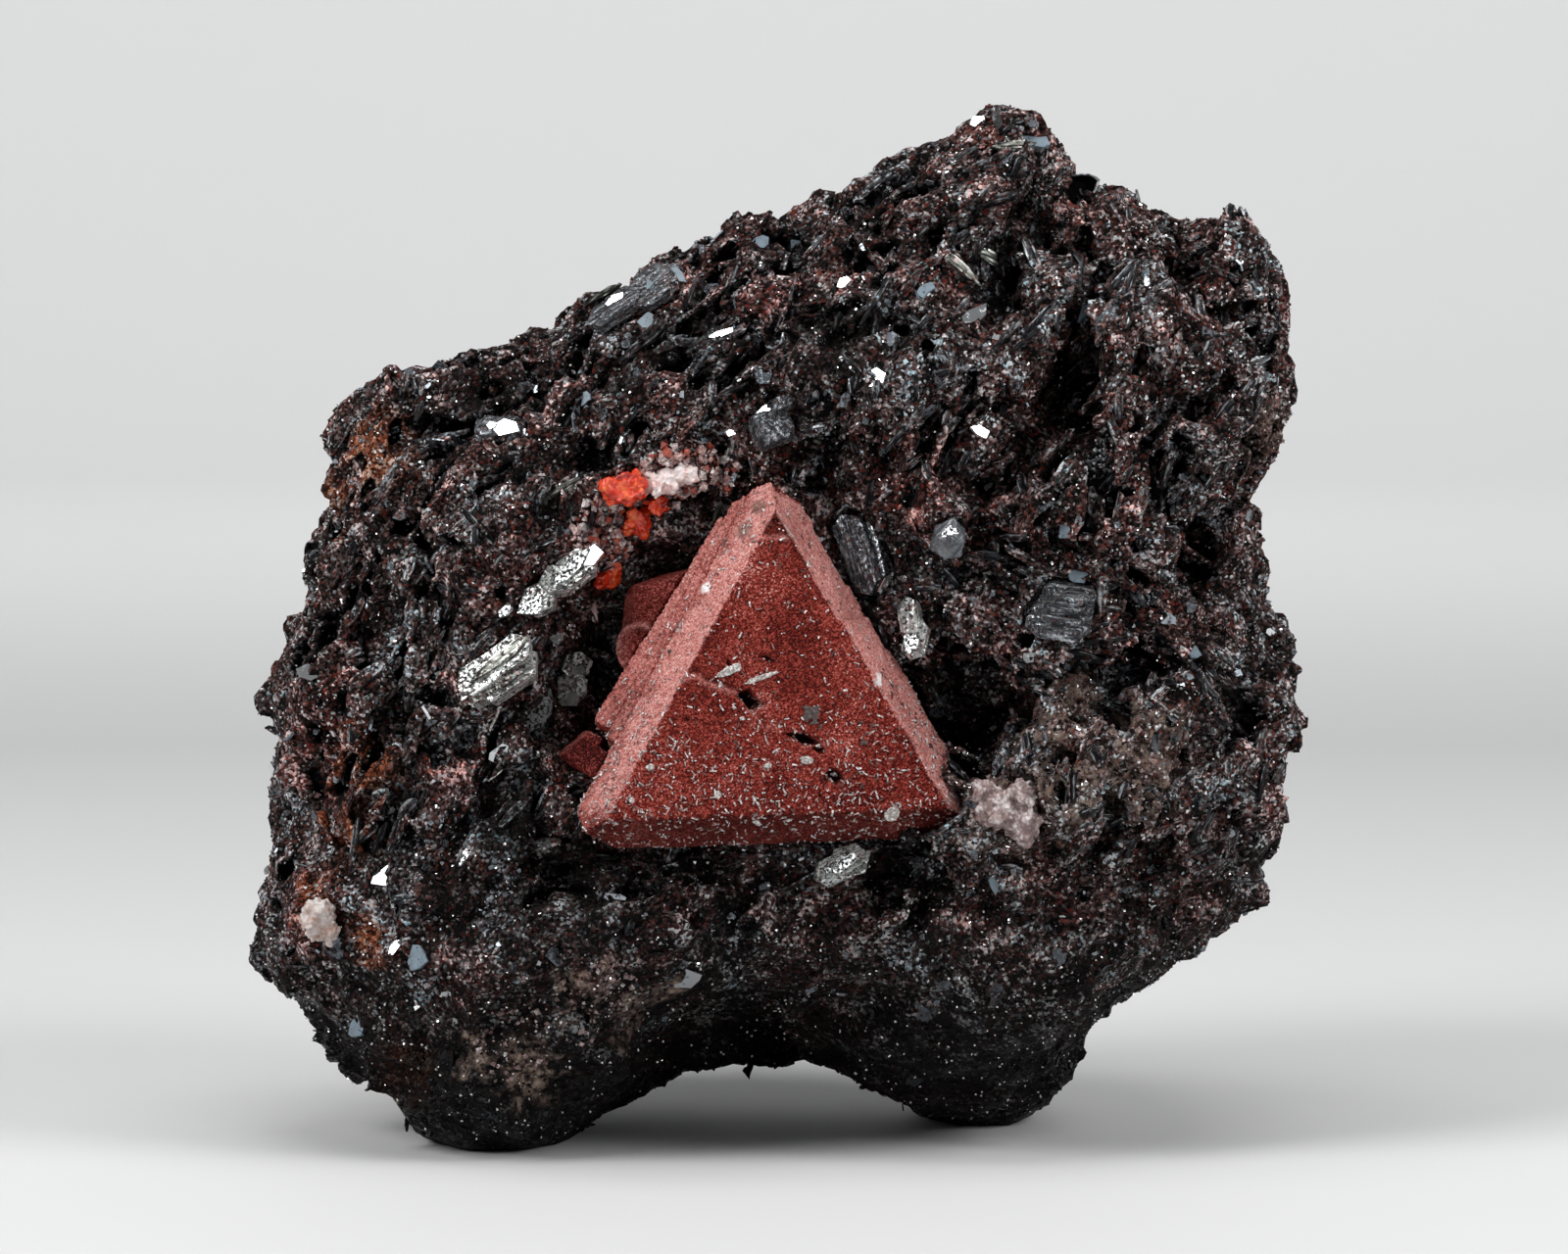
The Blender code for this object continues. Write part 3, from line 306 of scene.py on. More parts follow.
# Glassy materials: shades of their clouds, clearness, roughness and density of the absorption.
GLASSES = {
    "orange": (((0.20, 0.005, 0.002), (0.85, 0.05, 0.012), (1.0, 0.25, 0.08)), 0.35, 0.1, 120.0),
    "quartz_clear": (((0.45, 0.1, 0.08), (0.8, 0.55, 0.52), (1, 1, 1)), 0.45, 0.08, 40.0),
    "quartz_pink": (((0.6, 0.2, 0.16), (0.95, 0.76, 0.73), (1, 1, 1)), 0.12, 0.12, 100.0),
    "quartz_mauve": (((0.06, 0.035, 0.033), (0.28, 0.19, 0.18), (0.85, 0.80, 0.79)), 0.15, 0.2, 200.0),
    "quartz_white": (((0.36, 0.17, 0.10), (0.55, 0.46, 0.43), (0.8, 0.77, 0.75)), 0.15, 0.4, 90.0),
    "quartz_grey": (((0.06, 0.065, 0.075), (0.15, 0.165, 0.185), (0.32, 0.34, 0.37)), 0.5, 0.15, 250.0),
}
# Crystals that break up into grains: node, slot, glass, voxel, size of a grain and height of the relief.
GRAINY_CRYSTALS = [
    *((f"orange_crystal_{index}", "orange", "orange", 0.05, 0.5, 0.24) for index in range(1, 5)),
    ("quartz_spike", "quartz_clear", "quartz_clear", 0.04, 0.6, 0.03),
    ("quartz_pink", "quartz_pink", "quartz_pink", 0.05, 0.42, 0.16),
    ("quartz_cluster", "quartz_pink", "quartz_mauve", 0.06, 0.5, 0.2),
    ("quartz_white", "quartz_white", "quartz_white", 0.05, 0.36, 0.17),
    ("quartz_grey", "quartz_grey", "quartz_grey", 0.05, 0.9, 0.06),
]
STRIATED_EDGE = 0.12           # edges of the hematite crystals that are longer than this are divided
STRIATED_TRIANGLES = 9000
BRIGHT_HEMATITES = ("hematite_cluster_left", "hematite_long_blade", "hematite_plates_left",
                    "hematite_blade_right", "hematite_plate_below")


# ---- Mesh tools ----
def linked(mesh, name):
    """Object of the mesh, in the scene."""
    obj = bpy.data.objects.new(name, mesh)
    bpy.context.scene.collection.objects.link(obj)
    return obj


def node_copy(node, name):
    """Object with a copy of a CAD node's mesh, in millimetres."""
    mesh = frame["nodes"][node].data.copy()
    mesh.materials.clear()
    mesh.transform(Matrix.Scale(1 / MM, 4))
    return linked(mesh, name)


def apply_modifier(obj, kind, **settings):
    """Give obj one modifier with these settings and make its result the object's mesh."""
    modifier = obj.modifiers.new(kind.title(), kind)
    for key, value in settings.items():
        setattr(modifier, key, value)
    depsgraph = bpy.context.evaluated_depsgraph_get()
    result = bpy.data.meshes.new_from_object(obj.evaluated_get(depsgraph))
    obj.modifiers.clear()
    obj.data = result


def remesh(obj, voxel):
    """Rebuild the mesh as one even skin."""
    apply_modifier(obj, "REMESH", mode="VOXEL", voxel_size=voxel)


def remeshed_node(node, name, voxel):
    """Even copy of a CAD node, with its points and normals."""
    obj = node_copy(node, name)
    remesh(obj, voxel)
    return obj, vertex_array(obj.data), vertex_array(obj.data, "normal")


def vertex_array(mesh, key="co"):
    """Coordinates or normals of the mesh's vertices as an array."""
    values = np.empty(len(mesh.vertices) * 3)
    mesh.vertices.foreach_get(key, values)
    return values.reshape(-1, 3)


def set_vertices(mesh, points):
    """Move the mesh's vertices to these points."""
    mesh.vertices.foreach_set("co", np.asarray(points, float).ravel())
    mesh.update()


def surface_tree(obj):
    """BVH tree of an object's mesh, in the mesh's own units."""
    return BVHTree.FromPolygons([v.co for v in obj.data.vertices],
                                [p.vertices for p in obj.data.polygons])


def set_attribute(mesh, name, values):
    """Store one number per vertex for the materials to read."""
    attribute = mesh.attributes.new(name, "FLOAT", "POINT")
    attribute.data.foreach_set("value", np.asarray(values, np.float32))


def mesh_object(name, points, faces):
    """Object of a new mesh."""
    mesh = bpy.data.meshes.new(name)
    mesh.from_pydata(points.tolist(), [], faces)
    return linked(mesh, name)


def bmesh_object(name, bm):
    """Object of a finished bmesh, which is freed."""
    mesh = bpy.data.meshes.new(name)
    bm.to_mesh(mesh)
    bm.free()
    return linked(mesh, name)


def shade(mesh, smooth):
    """Smooth or flat shading for the whole mesh."""
    mesh.polygons.foreach_set("use_smooth", [smooth] * len(mesh.polygons))


def finish_piece(obj, material, nodes=(), smooth=True):
    obj.data.transform(Matrix.Scale(MM, 4))
    obj.data.materials.clear()
    obj.data.materials.append(material)
    shade(obj.data, smooth)
    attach(obj, "root")
    if nodes:
        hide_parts(*nodes)


def unit(vectors):
    """Rows scaled to length 1."""
    return vectors / np.maximum(np.linalg.norm(vectors, axis=1, keepdims=True), 1e-9)


def plate_axes(normals, alongs):
    """Three unit axes of each plate: along it, across it, and its normal."""
    normals = unit(normals)
    x_axes = unit(alongs - normals * np.sum(alongs * normals, axis=1, keepdims=True))
    return x_axes, np.cross(normals, x_axes), normals


def plate_object(name, centres, normals, alongs, outlines, half_heights):
    """One object of many thin closed plates.

    outlines holds each plate's corners in its own plane, as (plate, corner, 2).
    """
    x_axes, y_axes, normals = plate_axes(normals, alongs)
    count, corners = outlines.shape[:2]
    flat = (centres[:, None] + outlines[:, :, :1] * x_axes[:, None] + outlines[:, :, 1:] * y_axes[:, None])
    rise = (normals * half_heights[:, None])[:, None]
    points = np.concatenate([flat + rise, flat - rise], axis=1).reshape(-1, 3)
    ring = np.arange(corners)
    following = (ring + 1) % corners
    sides = np.stack([ring, ring + corners, following + corners, following], axis=1)
    faces = []
    for start in range(0, 2 * corners * count, 2 * corners):
        faces.append((ring + start).tolist())
        faces.append((ring[::-1] + corners + start).tolist())
        faces.extend((sides + start).tolist())
    plates = mesh_object(name, points, faces)
    own = np.concatenate([outlines, outlines], axis=1).reshape(-1, 2)
    thin = np.repeat(np.stack([half_heights, -half_heights], axis=1), corners)
    for attribute, values in (("along", own[:, 0]), ("across", own[:, 1]), ("thin", thin)):
        set_attribute(plates.data, attribute, values)
    return plates


def ragged_outlines(rng, lengths, widths, corners, raggedness):
    """Outlines of plates: stretched polygons whose corners are moved at random."""
    count = len(lengths)
    angles = (np.arange(corners) + 0.5) * 2 * np.pi / corners
    angles = angles + rng.uniform(-0.3, 0.3, (count, corners))
    radii = 1 + rng.uniform(-raggedness, raggedness, (count, corners))
    return np.stack([np.cos(angles) * radii * lengths[:, None] / 2,
                     np.sin(angles) * radii * widths[:, None] / 2], axis=2)


def small_sizes(rng, count, low, high, power=2):
    """Random sizes, most of them near the low end."""
    return rng.uniform(0, 1, count) ** power * (high - low) + low


OCTAHEDRON = np.array([(1, 0, 0), (-1, 0, 0), (0, 1, 0), (0, -1, 0), (0, 0, 1), (0, 0, -1)], float)
OCTAHEDRON_FACES = np.array([(0, 2, 4), (2, 1, 4), (1, 3, 4), (3, 0, 4),
                             (2, 0, 5), (1, 2, 5), (3, 1, 5), (0, 3, 5)])


def grain_object(name, rng, centres, sizes):
    """One object of many small, uneven eight-faced grains."""
    count = len(centres)
    turns = np.array([list(map(list, Matrix.Rotation(angle, 3, Vector(axis))))
                      for angle, axis in zip(rng.uniform(0, 6.28, count), rng.normal(size=(count, 3)))])
    shapes = OCTAHEDRON[None] * rng.uniform(0.6, 1.25, (count, 6, 1)) * sizes[:, None, None] / 2
    points = np.einsum("nij,nkj->nki", turns, shapes) + centres[:, None]
    faces = (OCTAHEDRON_FACES[None] + 6 * np.arange(count)[:, None, None]).reshape(-1, 3)
    return mesh_object(name, points.reshape(-1, 3), faces.tolist())


# ---- Places on a surface ----
def surface_samples(obj, rng, count, weigh):
    """Random places on a mesh as (points, normals, values); weigh(points, normals, values) says how often.

    The values are the mesh's attribute "open" at the places.
    """
    mesh = obj.data
    mesh.calc_loop_triangles()
    corners = np.empty(len(mesh.loop_triangles) * 3, int)
    mesh.loop_triangles.foreach_get("vertices", corners)
    corners = corners.reshape(-1, 3)
    points = vertex_array(mesh)[corners]
    cross = np.cross(points[:, 1] - points[:, 0], points[:, 2] - points[:, 0])
    areas = np.linalg.norm(cross, axis=1) / 2
    normals = unit(cross)
    open_values = np.ones(len(mesh.vertices), np.float32)
    if "open" in mesh.attributes:
        mesh.attributes["open"].data.foreach_get("value", open_values)
    values = open_values[corners].mean(axis=1)
    weights = areas * weigh(points.mean(axis=1), normals, values)
    chosen = rng.choice(len(areas), count, p=weights / weights.sum())
    shares = rng.dirichlet((1, 1, 1), count)
    return np.einsum("nk,nkj->nj", shares, points[chosen]), normals[chosen], values[chosen]


def flow_directions(points):
    """Direction of the ridges at each place."""
    x, z = points[:, 0], points[:, 2]
    angles = np.where(x < 0, FLOW_LEFT, FLOW_RIGHT)
    angles = np.where(z < LOW_HEIGHT, FLOW_LOW, angles)
    angles = np.where((x > SHELF_START) & (z > SHELF_LOW) & (z < SHELF_HIGH), FLOW_SHELF, angles)
    return directions(angles)


def directions(degrees):
    """Unit vectors in the plane of x and z."""
    angles = np.radians(degrees)
    return np.stack([np.cos(angles), np.zeros(len(angles)), np.sin(angles)], axis=1)


def near_spots(points, spots, softness=0.5):
    """1 inside the spots, falling to 0 outside them."""
    best = np.zeros(len(points))
    for centre, radius in spots:
        distance = np.linalg.norm(points - np.array(centre), axis=1)
        best = np.maximum(best, np.clip((radius * (1 + softness) - distance) / (radius * softness), 0, 1))
    return best


def distances_to(points, tree):
    """Distance of each place from the tree's surface."""
    return np.array([tree.find_nearest(Vector(p))[3] for p in points])


def grow(values, start, width):
    """0 up to the start, 1 from start + width."""
    return np.clip((values - start) / width, 0, 1)


def smooth_step(values, width):
    """0 below -width, 1 above width, smooth between."""
    share = np.clip(values / (2 * width) + 0.5, 0, 1)
    return share * share * (3 - 2 * share)


def noise_array(points, size):
    """Noise from -1 to 1 at each point."""
    return np.array([noise.noise(Vector(p) / size) for p in points])


# ---- Rock ----
def crystal_arrays():
    """Vertices and faces of every CAD node but the matrix, in millimetres."""
    points, faces = [], []
    for name, node in sorted(frame["nodes"].items()):
        if name != "matrix":
            faces.extend([[i + len(points) for i in p.vertices] for p in node.data.polygons])
            points.extend(v.co / MM for v in node.data.vertices)
    return points, faces


def plate_share(points):
    """How platy the rock is: most on the upper front, less on the back, least low down and at the sides."""
    height = grow(points[:, 2], *PLATY_HEIGHT)
    front = grow(-points[:, 1], *PLATY_FRONT)
    back = BACK_PLATES * grow(points[:, 1], *PLATY_BACK)
    return LEAST_PLATES + (1 - LEAST_PLATES) * height * (front + back)


def sunk_core(crystal_tree):
    """The CAD solid, evened out, with its surface moved inwards except near the crystals and the feet."""
    rock, points, normals = remeshed_node("matrix", "rock_surface", CORE_VOXEL)
    distances = distances_to(points, crystal_tree)
    share = grow(distances, CORE_FIXED, CORE_FADE) * np.clip(points[:, 2] / CORE_FADE - 0.2, 0, 1)
    set_vertices(rock.data, points - normals * (CORE_SINK * plate_share(points) * share)[:, None])
    return rock


def lens_arrays(centres, facings, alongs, sizes):
    """Vertices and faces of rounded plates; sizes holds each one's length, width and thickness."""
    bm = bmesh.new()
    bmesh.ops.create_icosphere(bm, subdivisions=2, radius=1.0)
    bm.verts.index_update()
    shape = np.array([v.co for v in bm.verts])
    faces = np.array([[v.index for v in f.verts] for f in bm.faces])
    bm.free()
    shape = np.sign(shape) * np.abs(shape) ** 0.8
    axes = np.stack(plate_axes(facings, alongs), axis=1)
    points = np.einsum("nva,nax->nvx", shape[None] * sizes[:, None] / 2, axes) + centres[:, None]
    offsets = (len(shape) * np.arange(len(centres)))[:, None, None]
    return points.reshape(-1, 3), (faces[None] + offsets).reshape(-1, 3)


def add_to_mesh(obj, points, faces):
    """Add vertices and faces to an object's mesh."""
    base = len(obj.data.vertices)
    all_points = np.concatenate([vertex_array(obj.data), points])
    all_faces = [tuple(p.vertices) for p in obj.data.polygons] + (faces + base).tolist()
    obj.data = bpy.data.meshes.new(obj.name)
    obj.data.from_pydata(all_points.tolist(), [], all_faces)


def upward(points, normals):
    """Whether a place lies off the feet and off the underside between them."""
    return (points[:, 2] > FEET_HEIGHT) & ((normals[:, 2] > UNDERSIDE) | (points[:, 2] > UNDERSIDE_HEIGHT))


def packet_plates(places, rng, crystal_tree):
    """Plates that stand side by side in packets: centres, facings, directions and sizes."""
    points, normals, _ = surface_samples(
        places, rng, PACKET_COUNT, lambda p, n, v: plate_share(p) * np.where(n[:, 1] < 0.3, 1.7, 0.7))
    keep = (distances_to(points, crystal_tree) > PACKET_CLEARANCE) & upward(points, normals)
    points, normals = points[keep], normals[keep]
    flow = unit(flow_directions(points) + rng.normal(0, 0.3, points.shape))
    stacking = unit(unit(np.cross(normals, flow)) + normals * rng.normal(0.25, 0.35, (len(points), 1)))
    numbers = rng.integers(*PACKET_PLATES, len(points))
    rows = np.repeat(np.arange(len(points)), numbers)
    order = np.concatenate([np.arange(n) - (n - 1) / 2 for n in numbers])
    total = len(rows)
    spans = (PLATE_LENGTH, PLATE_WIDTH, PLATE_THICKNESS)
    sizes = np.stack([rng.uniform(*span, total) for span in spans], axis=1)
    spacing = rng.uniform(*PLATE_SPACING, len(points))[rows]
    depths = sizes[:, 1] / 2 - rng.uniform(*PLATE_RISE, total)
    centres = (points[rows] + stacking[rows] * (order * spacing)[:, None] - normals[rows] * depths[:, None]
               + flow[rows] * rng.normal(0, 0.35, (total, 1)))
    facings = stacking[rows] + rng.normal(0, 0.1, (total, 3))
    return centres, facings, flow[rows] + rng.normal(0, 0.08, (total, 3)), sizes


def crust_lumps(places, rng, crystal_tree, count, lengths, widths, heights, rises):
    """Rounded lumps along the ridges: centres, facings, directions and sizes."""
    points, normals, _ = surface_samples(
        places, rng, count, lambda p, n, v: np.where(n[:, 1] < 0.3, 1.6, 0.8))
    long = rng.uniform(*lengths, count)
    sizes = np.stack([long, long * rng.uniform(*widths, count), long * rng.uniform(*heights, count)], axis=1)
    rise = rng.uniform(*rises, count) * plate_share(points)
    centres = points - normals * (sizes[:, 2] / 2 - rise)[:, None]
    facings = normals + rng.normal(0, 0.3, points.shape)
    alongs = flow_directions(points) + rng.normal(0, 0.45, points.shape)
    keep = (distances_to(points, crystal_tree) > 0.3 + 0.4 * long) & upward(points, normals)
    return centres[keep], facings[keep], alongs[keep], sizes[keep]


def keep_largest(obj):
    """Delete every loose part of the mesh but the largest."""
    mesh = obj.data
    edges = np.empty(len(mesh.edges) * 2, int)
    mesh.edges.foreach_get("vertices", edges)
    first, second = edges.reshape(-1, 2).T
    labels = np.arange(len(mesh.vertices))
    while True:
        lowest = labels.copy()
        np.minimum.at(lowest, first, labels[second])
        np.minimum.at(lowest, second, labels[first])
        lowest = lowest[lowest]
        if np.array_equal(lowest, labels):
            break
        labels = lowest
    kept = labels == np.bincount(labels).argmax()
    bm = bmesh.new()
    bm.from_mesh(mesh)
    bm.verts.ensure_lookup_table()
    bmesh.ops.delete(bm, geom=[bm.verts[i] for i in np.flatnonzero(~kept)], context="VERTS")
    bm.to_mesh(mesh)
    bm.free()


def hold_to_form(points, form):
    """Squeeze the points that stand out of the CAD solid, so that the outline stays compact."""
    held = points.copy()
    for index, point in enumerate(points):
        place = Vector(point)
        nearest, normal, _, distance = form.find_nearest(place)
        offset = place - nearest
        if distance > FORM_REACH and offset.dot(normal) > 0:
            kept = FORM_REACH + FORM_SQUEEZE * (distance - FORM_REACH)
            held[index] = nearest + offset * (kept / distance)
    return held


def lumps(point, steepness):
    """Rounded cells with sharp seams between them: 0 at a seam, 1 on top."""
    distances, _ = noise.voronoi(point)
    return min(1.0, steepness * (distances[1] - distances[0]))


def relief_height(point):
    """Height of the fine relief at a place."""
    height = 0.0
    for kind, size, tall in ROCK_RELIEF:
        scaled = point / size
        height += tall * (lumps(scaled, 1.4) - 0.55 if kind == "lumps" else noise.noise(scaled))
    return height


def roughen(obj, height_at, floor_fade=None):
    """Move the vertices along their normals by height_at(point)."""
    points = vertex_array(obj.data)
    normals = vertex_array(obj.data, "normal")
    heights = np.array([height_at(Vector(p)) for p in points])
    if floor_fade:
        heights = heights * np.clip(points[:, 2] / floor_fade, 0, 1)
    set_vertices(obj.data, points + normals * heights[:, None])


def openness(obj):
    """How open each vertex's surroundings are: 0 in a deep hollow, 1 on a ridge."""
    rng = np.random.default_rng(ROCK_SEED + 1)
    tree = surface_tree(obj)
    points = vertex_array(obj.data)
    normals = vertex_array(obj.data, "normal")
    rays = unit(rng.normal(size=(OPEN_RAYS, 3)))
    values = np.zeros(len(points))
    for index, (point, normal) in enumerate(zip(points, normals)):
        start = Vector(point + normal * OPEN_START)
        total = 0.0
        for ray in rays:
            hit = tree.ray_cast(start, Vector(ray + normal * OPEN_CONE), OPEN_REACH)[3]
            total += 1.0 if hit is None else hit / OPEN_REACH
        values[index] = total / OPEN_RAYS
    return values


def press_knobs(points):
    """Press in the knobs on the left edge and under the arch."""
    low, high = LEFT_EDGE_HEIGHTS
    left = (points[:, 2] > low) & (points[:, 2] < high) & (points[:, 0] < LEFT_EDGE)
    away = np.hypot(points[:, 0] - ARCH_KNOB[0], points[:, 1] - ARCH_KNOB[1])
    under = (away < ARCH_KNOB_RADIUS) & (points[:, 2] < ARCH_HEIGHT)
    held = points.copy()
    held[left, 0] = LEFT_EDGE + (points[left, 0] - LEFT_EDGE) * KNOB_SHARE
    held[under, 2] = ARCH_HEIGHT + (points[under, 2] - ARCH_HEIGHT) * KNOB_SHARE
    return held


def rock_surface():
    """The matrix with its plates, lumps and pits."""
    rng = np.random.default_rng(ROCK_SEED)
    places = node_copy("matrix", "scratch")
    form = surface_tree(places)
    crystal_tree = BVHTree.FromPolygons(*crystal_arrays())
    rock = sunk_core(crystal_tree)
    for plates in (packet_plates(places, rng, crystal_tree),
                   crust_lumps(places, rng, crystal_tree, *MOUNDS),
                   crust_lumps(places, rng, crystal_tree, *SMALL_LUMPS)):
        points, faces = lens_arrays(*plates)
        add_to_mesh(rock, hold_to_form(points, form), faces)
    remesh(rock, ROCK_VOXEL)
    keep_largest(rock)
    set_vertices(rock.data, press_knobs(vertex_array(rock.data)))
    roughen(rock, relief_height, FOOT_FADE)
    low, high = (np.array(corner) / MM for corner in cad_box)
    margin = BOX_MARGIN * np.array((1, 1, 0))
    set_vertices(rock.data, np.clip(vertex_array(rock.data), low - margin, high + BOX_MARGIN))
    triangles = sum(len(p.vertices) - 2 for p in rock.data.polygons)
    apply_modifier(rock, "DECIMATE", ratio=ROCK_TRIANGLES / triangles, use_collapse_triangulate=True)
    set_attribute(rock.data, "open", openness(rock))
    return rock


# ---- Shader tools ----
class Value:
    """Output of a shader node; + - * add Math nodes."""

    def __init__(self, paint, socket):
        self.paint = paint
        self.socket = socket

    def __add__(self, other):
        return self.paint.calc("ADD", self, other)

    def __sub__(self, other):
        return self.paint.calc("SUBTRACT", self, other)

    def __rsub__(self, other):
        return self.paint.calc("SUBTRACT", other, self)

    def __mul__(self, other):
        return self.paint.calc("MULTIPLY", self, other)


class Paint:
    """A material being built; its place is the point on the piece in millimetres."""

    def __init__(self, name):
        self.material = bpy.data.materials.new(name)
        self.material.use_nodes = True
        self.tree = self.material.node_tree
        self.place = self.vector("MULTIPLY", self.put("TexCoord", output="Object"), (1 / MM,) * 3)

    def node(self, kind, inputs, **settings):
        """New shader node; inputs maps an input's name or number to a number, a colour or a Value."""
        node = self.tree.nodes.new("ShaderNode" + kind)
        for key, value in settings.items():
            setattr(node, key, value)
        self.feed(node, inputs)
        return node

    def feed(self, node, inputs):
        """Connect or set the node's inputs."""
        for key, value in inputs.items():
            socket = node.inputs[key]
            if isinstance(value, Value):
                self.tree.links.new(value.socket, socket)
            elif socket.type == "RGBA":
                socket.default_value = (*value, 1.0)
            else:
                socket.default_value = value

    def put(self, kind, inputs=(), output=0, **settings):
        """One output of a new shader node."""
        return Value(self, self.node(kind, dict(inputs), **settings).outputs[output])

    def finish(self, **inputs):
        """Feed the material's own shader, with underscores for spaces, and return the material."""
        shader = self.tree.nodes["Principled BSDF"]
        self.feed(shader, {key.replace("_", " "): value for key, value in inputs.items()})
        return self.material

    def calc(self, operation, a, b):
        """Result of one Math node."""
        return self.put("Math", {0: a, 1: b}, operation=operation)

    def vector(self, operation, *inputs, output=0):
        """Result of one Vector Math node."""
        return self.put("VectorMath", dict(enumerate(inputs)), output, operation=operation)

    def mix(self, factor, a, b, **settings):
        """Colour between a and b."""
        return self.put("Mix", {0: factor, 6: a, 7: b}, 2, data_type="RGBA", **settings)

    def tint(self, factor, colour, by):
        """Colour multiplied by another, as far as the factor says."""
        return self.mix(factor, colour, by, blend_type="MULTIPLY")

    def blend(self, factor, a, b):
        """Number between a and b."""
        return self.put("Mix", {0: factor, 2: a, 3: b}, data_type="FLOAT")

    def remap(self, value, low, high, to_low=0.0, to_high=1.0):
        """Value taken from low..high to to_low..to_high, clamped."""
        return self.put("MapRange", {0: value, 1: low, 2: high, 3: to_low, 4: to_high})

    def ramp(self, factor, stops):
        """Colour from a list of (position, colour)."""
        node = self.node("ValToRGB", {0: factor})
        elements = node.color_ramp.elements
        while len(elements) < len(stops):
            elements.new(0.5)
        for element, (position, colour) in zip(elements, stops):
            element.position = position
            element.color = (*colour, 1.0)
        return Value(self, node.outputs[0])

    def fractal(self, size, detail=3.0, roughness=0.55, vector=None):
        """Noise from 0 to 1 whose largest features have this size."""
        return self.put("TexNoise", {"Vector": vector or self.place, "Scale": 1 / size, "Detail": detail,
                                     "Roughness": roughness})

    def cells(self, size):
        """Voronoi cells of this size: distance to each centre, and a random colour."""
        node = self.node("TexVoronoi", {"Vector": self.place, "Scale": 1 / size})
        return Value(self, node.outputs["Distance"]), Value(self, node.outputs["Color"])

    def channels(self, colour):
        """The three channels of a colour."""
        node = self.node("SeparateColor", {0: colour})
        return [Value(self, output) for output in node.outputs]

    def height(self):
        """Height of the place over the floor."""
        return self.put("SeparateXYZ", {0: self.place}, 2)

    def attribute(self, name):
        """Number stored with the mesh under this name."""
        return self.put("Attribute", output="Fac", attribute_name=name)

    def island(self):
        """Random number of each loose part."""
        return self.put("NewGeometry", output="Random Per Island")

    def bump(self, height, strength, distance):
        """Normal bent by a height; the distance is in millimetres."""
        return self.put("Bump", {"Height": height, "Strength": strength, "Distance": distance * MM})

    def spots(self, spots, softness=0.6, wander=3.0):
        """Mask that is 1 inside the spots, with an edge that wanders by about a sixth of wander."""
        wobble = self.put("TexNoise", {"Vector": self.place, "Scale": 2.7 / wander, "Detail": 4.0}, "Color")
        moved = self.vector("SUBTRACT", wobble, (0.5,) * 3)
        moved = self.vector("MULTIPLY_ADD", moved, (wander,) * 3, self.place)
        mask = None
        for centre, radius in spots:
            distance = self.vector("DISTANCE", moved, centre, output="Value")
            one = self.remap(distance, radius * (1 - softness / 2), radius * (1 + softness), 1.0, 0.0)
            mask = one if mask is None else self.calc("MAXIMUM", mask, one)
        return mask


# ---- Materials ----
# Colour of the painted shade.
SHADOW = (0.0005,) * 3
CRUST_SHADES = [
    (0.1, (0.001,) * 3), (0.28, (0.011, 0.0065, 0.0055)), (0.42, (0.028, 0.0155, 0.014)),
    (0.62, (0.083, 0.057, 0.054)), (0.71, (0.145, 0.118, 0.115)), (0.79, (0.27, 0.255, 0.26)),
    (0.92, (0.58, 0.6, 0.61)),
]
DARK_SHADES = [
    (0.3, (0.001,) * 3), (0.55, (0.008, 0.008, 0.009)), (0.68, (0.05, 0.054, 0.058)),
    (0.8, (0.33, 0.36, 0.38)), (0.92, (0.7, 0.72, 0.73)),
]
RUST_SHADES = [
    (0.15, (0.015, 0.004, 0.002)), (0.4, (0.11, 0.026, 0.010)), (0.65, (0.31, 0.085, 0.033)),
    (0.9, (0.53, 0.31, 0.2)),
]
PALE_SHADES = [(0.3, (0.06, 0.035, 0.028)), (0.5, (0.22, 0.15, 0.12)), (0.7, (0.5, 0.4, 0.33))]
FLAKE_SHADES = [
    (0.0, (0.03, 0.033, 0.04)), (0.5, (0.13, 0.145, 0.165)), (0.9, (0.34, 0.38, 0.42)),
    (1.0, (0.85, 0.86, 0.87)),
]
GRAIN_SHADES = [
    (0.0, (0.003, 0.002, 0.002)), (0.35, (0.014, 0.007, 0.006)), (0.65, (0.048, 0.026, 0.024)),
    (0.88, (0.14, 0.095, 0.09)), (1.0, (0.55, 0.51, 0.5)),
]
SPARK_SHADES = [(0.0, (0.25, 0.26, 0.28)), (0.5, (0.7,) * 3), (1.0, (0.9, 0.85, 0.82))]
RIM_SHADES = [(0.35, (0.03,) * 3), (0.5, (0.4, 0.42, 0.43)), (0.65, (0.85, 0.87, 0.88))]
# Paler surface of the side bevels, partly its own colour and partly painted sheen; also painted highlights on
# the lips.
PALE_AND_SHEEN_SHADES = [(0.2, (0.24, 0.055, 0.046)), (0.5, (0.54, 0.21, 0.185)), (0.75, (0.70, 0.42, 0.39))]
# Streaks of the laths and the hematite crystals, from the darkest to the brightest.
LATH_SHADES = ((0.004, 0.004, 0.005), (0.04, 0.043, 0.048), (0.42, 0.45, 0.46))
PALE_LATH_SHADES = ((0.01, 0.01, 0.01), (0.22, 0.23, 0.2), (0.8, 0.82, 0.76))
DARK_STEEL_SHADES = ((0.012, 0.012, 0.014), (0.06, 0.065, 0.075), (0.50, 0.53, 0.56))
BRIGHT_STEEL_SHADES = ((0.10, 0.105, 0.10), (0.50, 0.52, 0.50), (0.92, 0.94, 0.93))
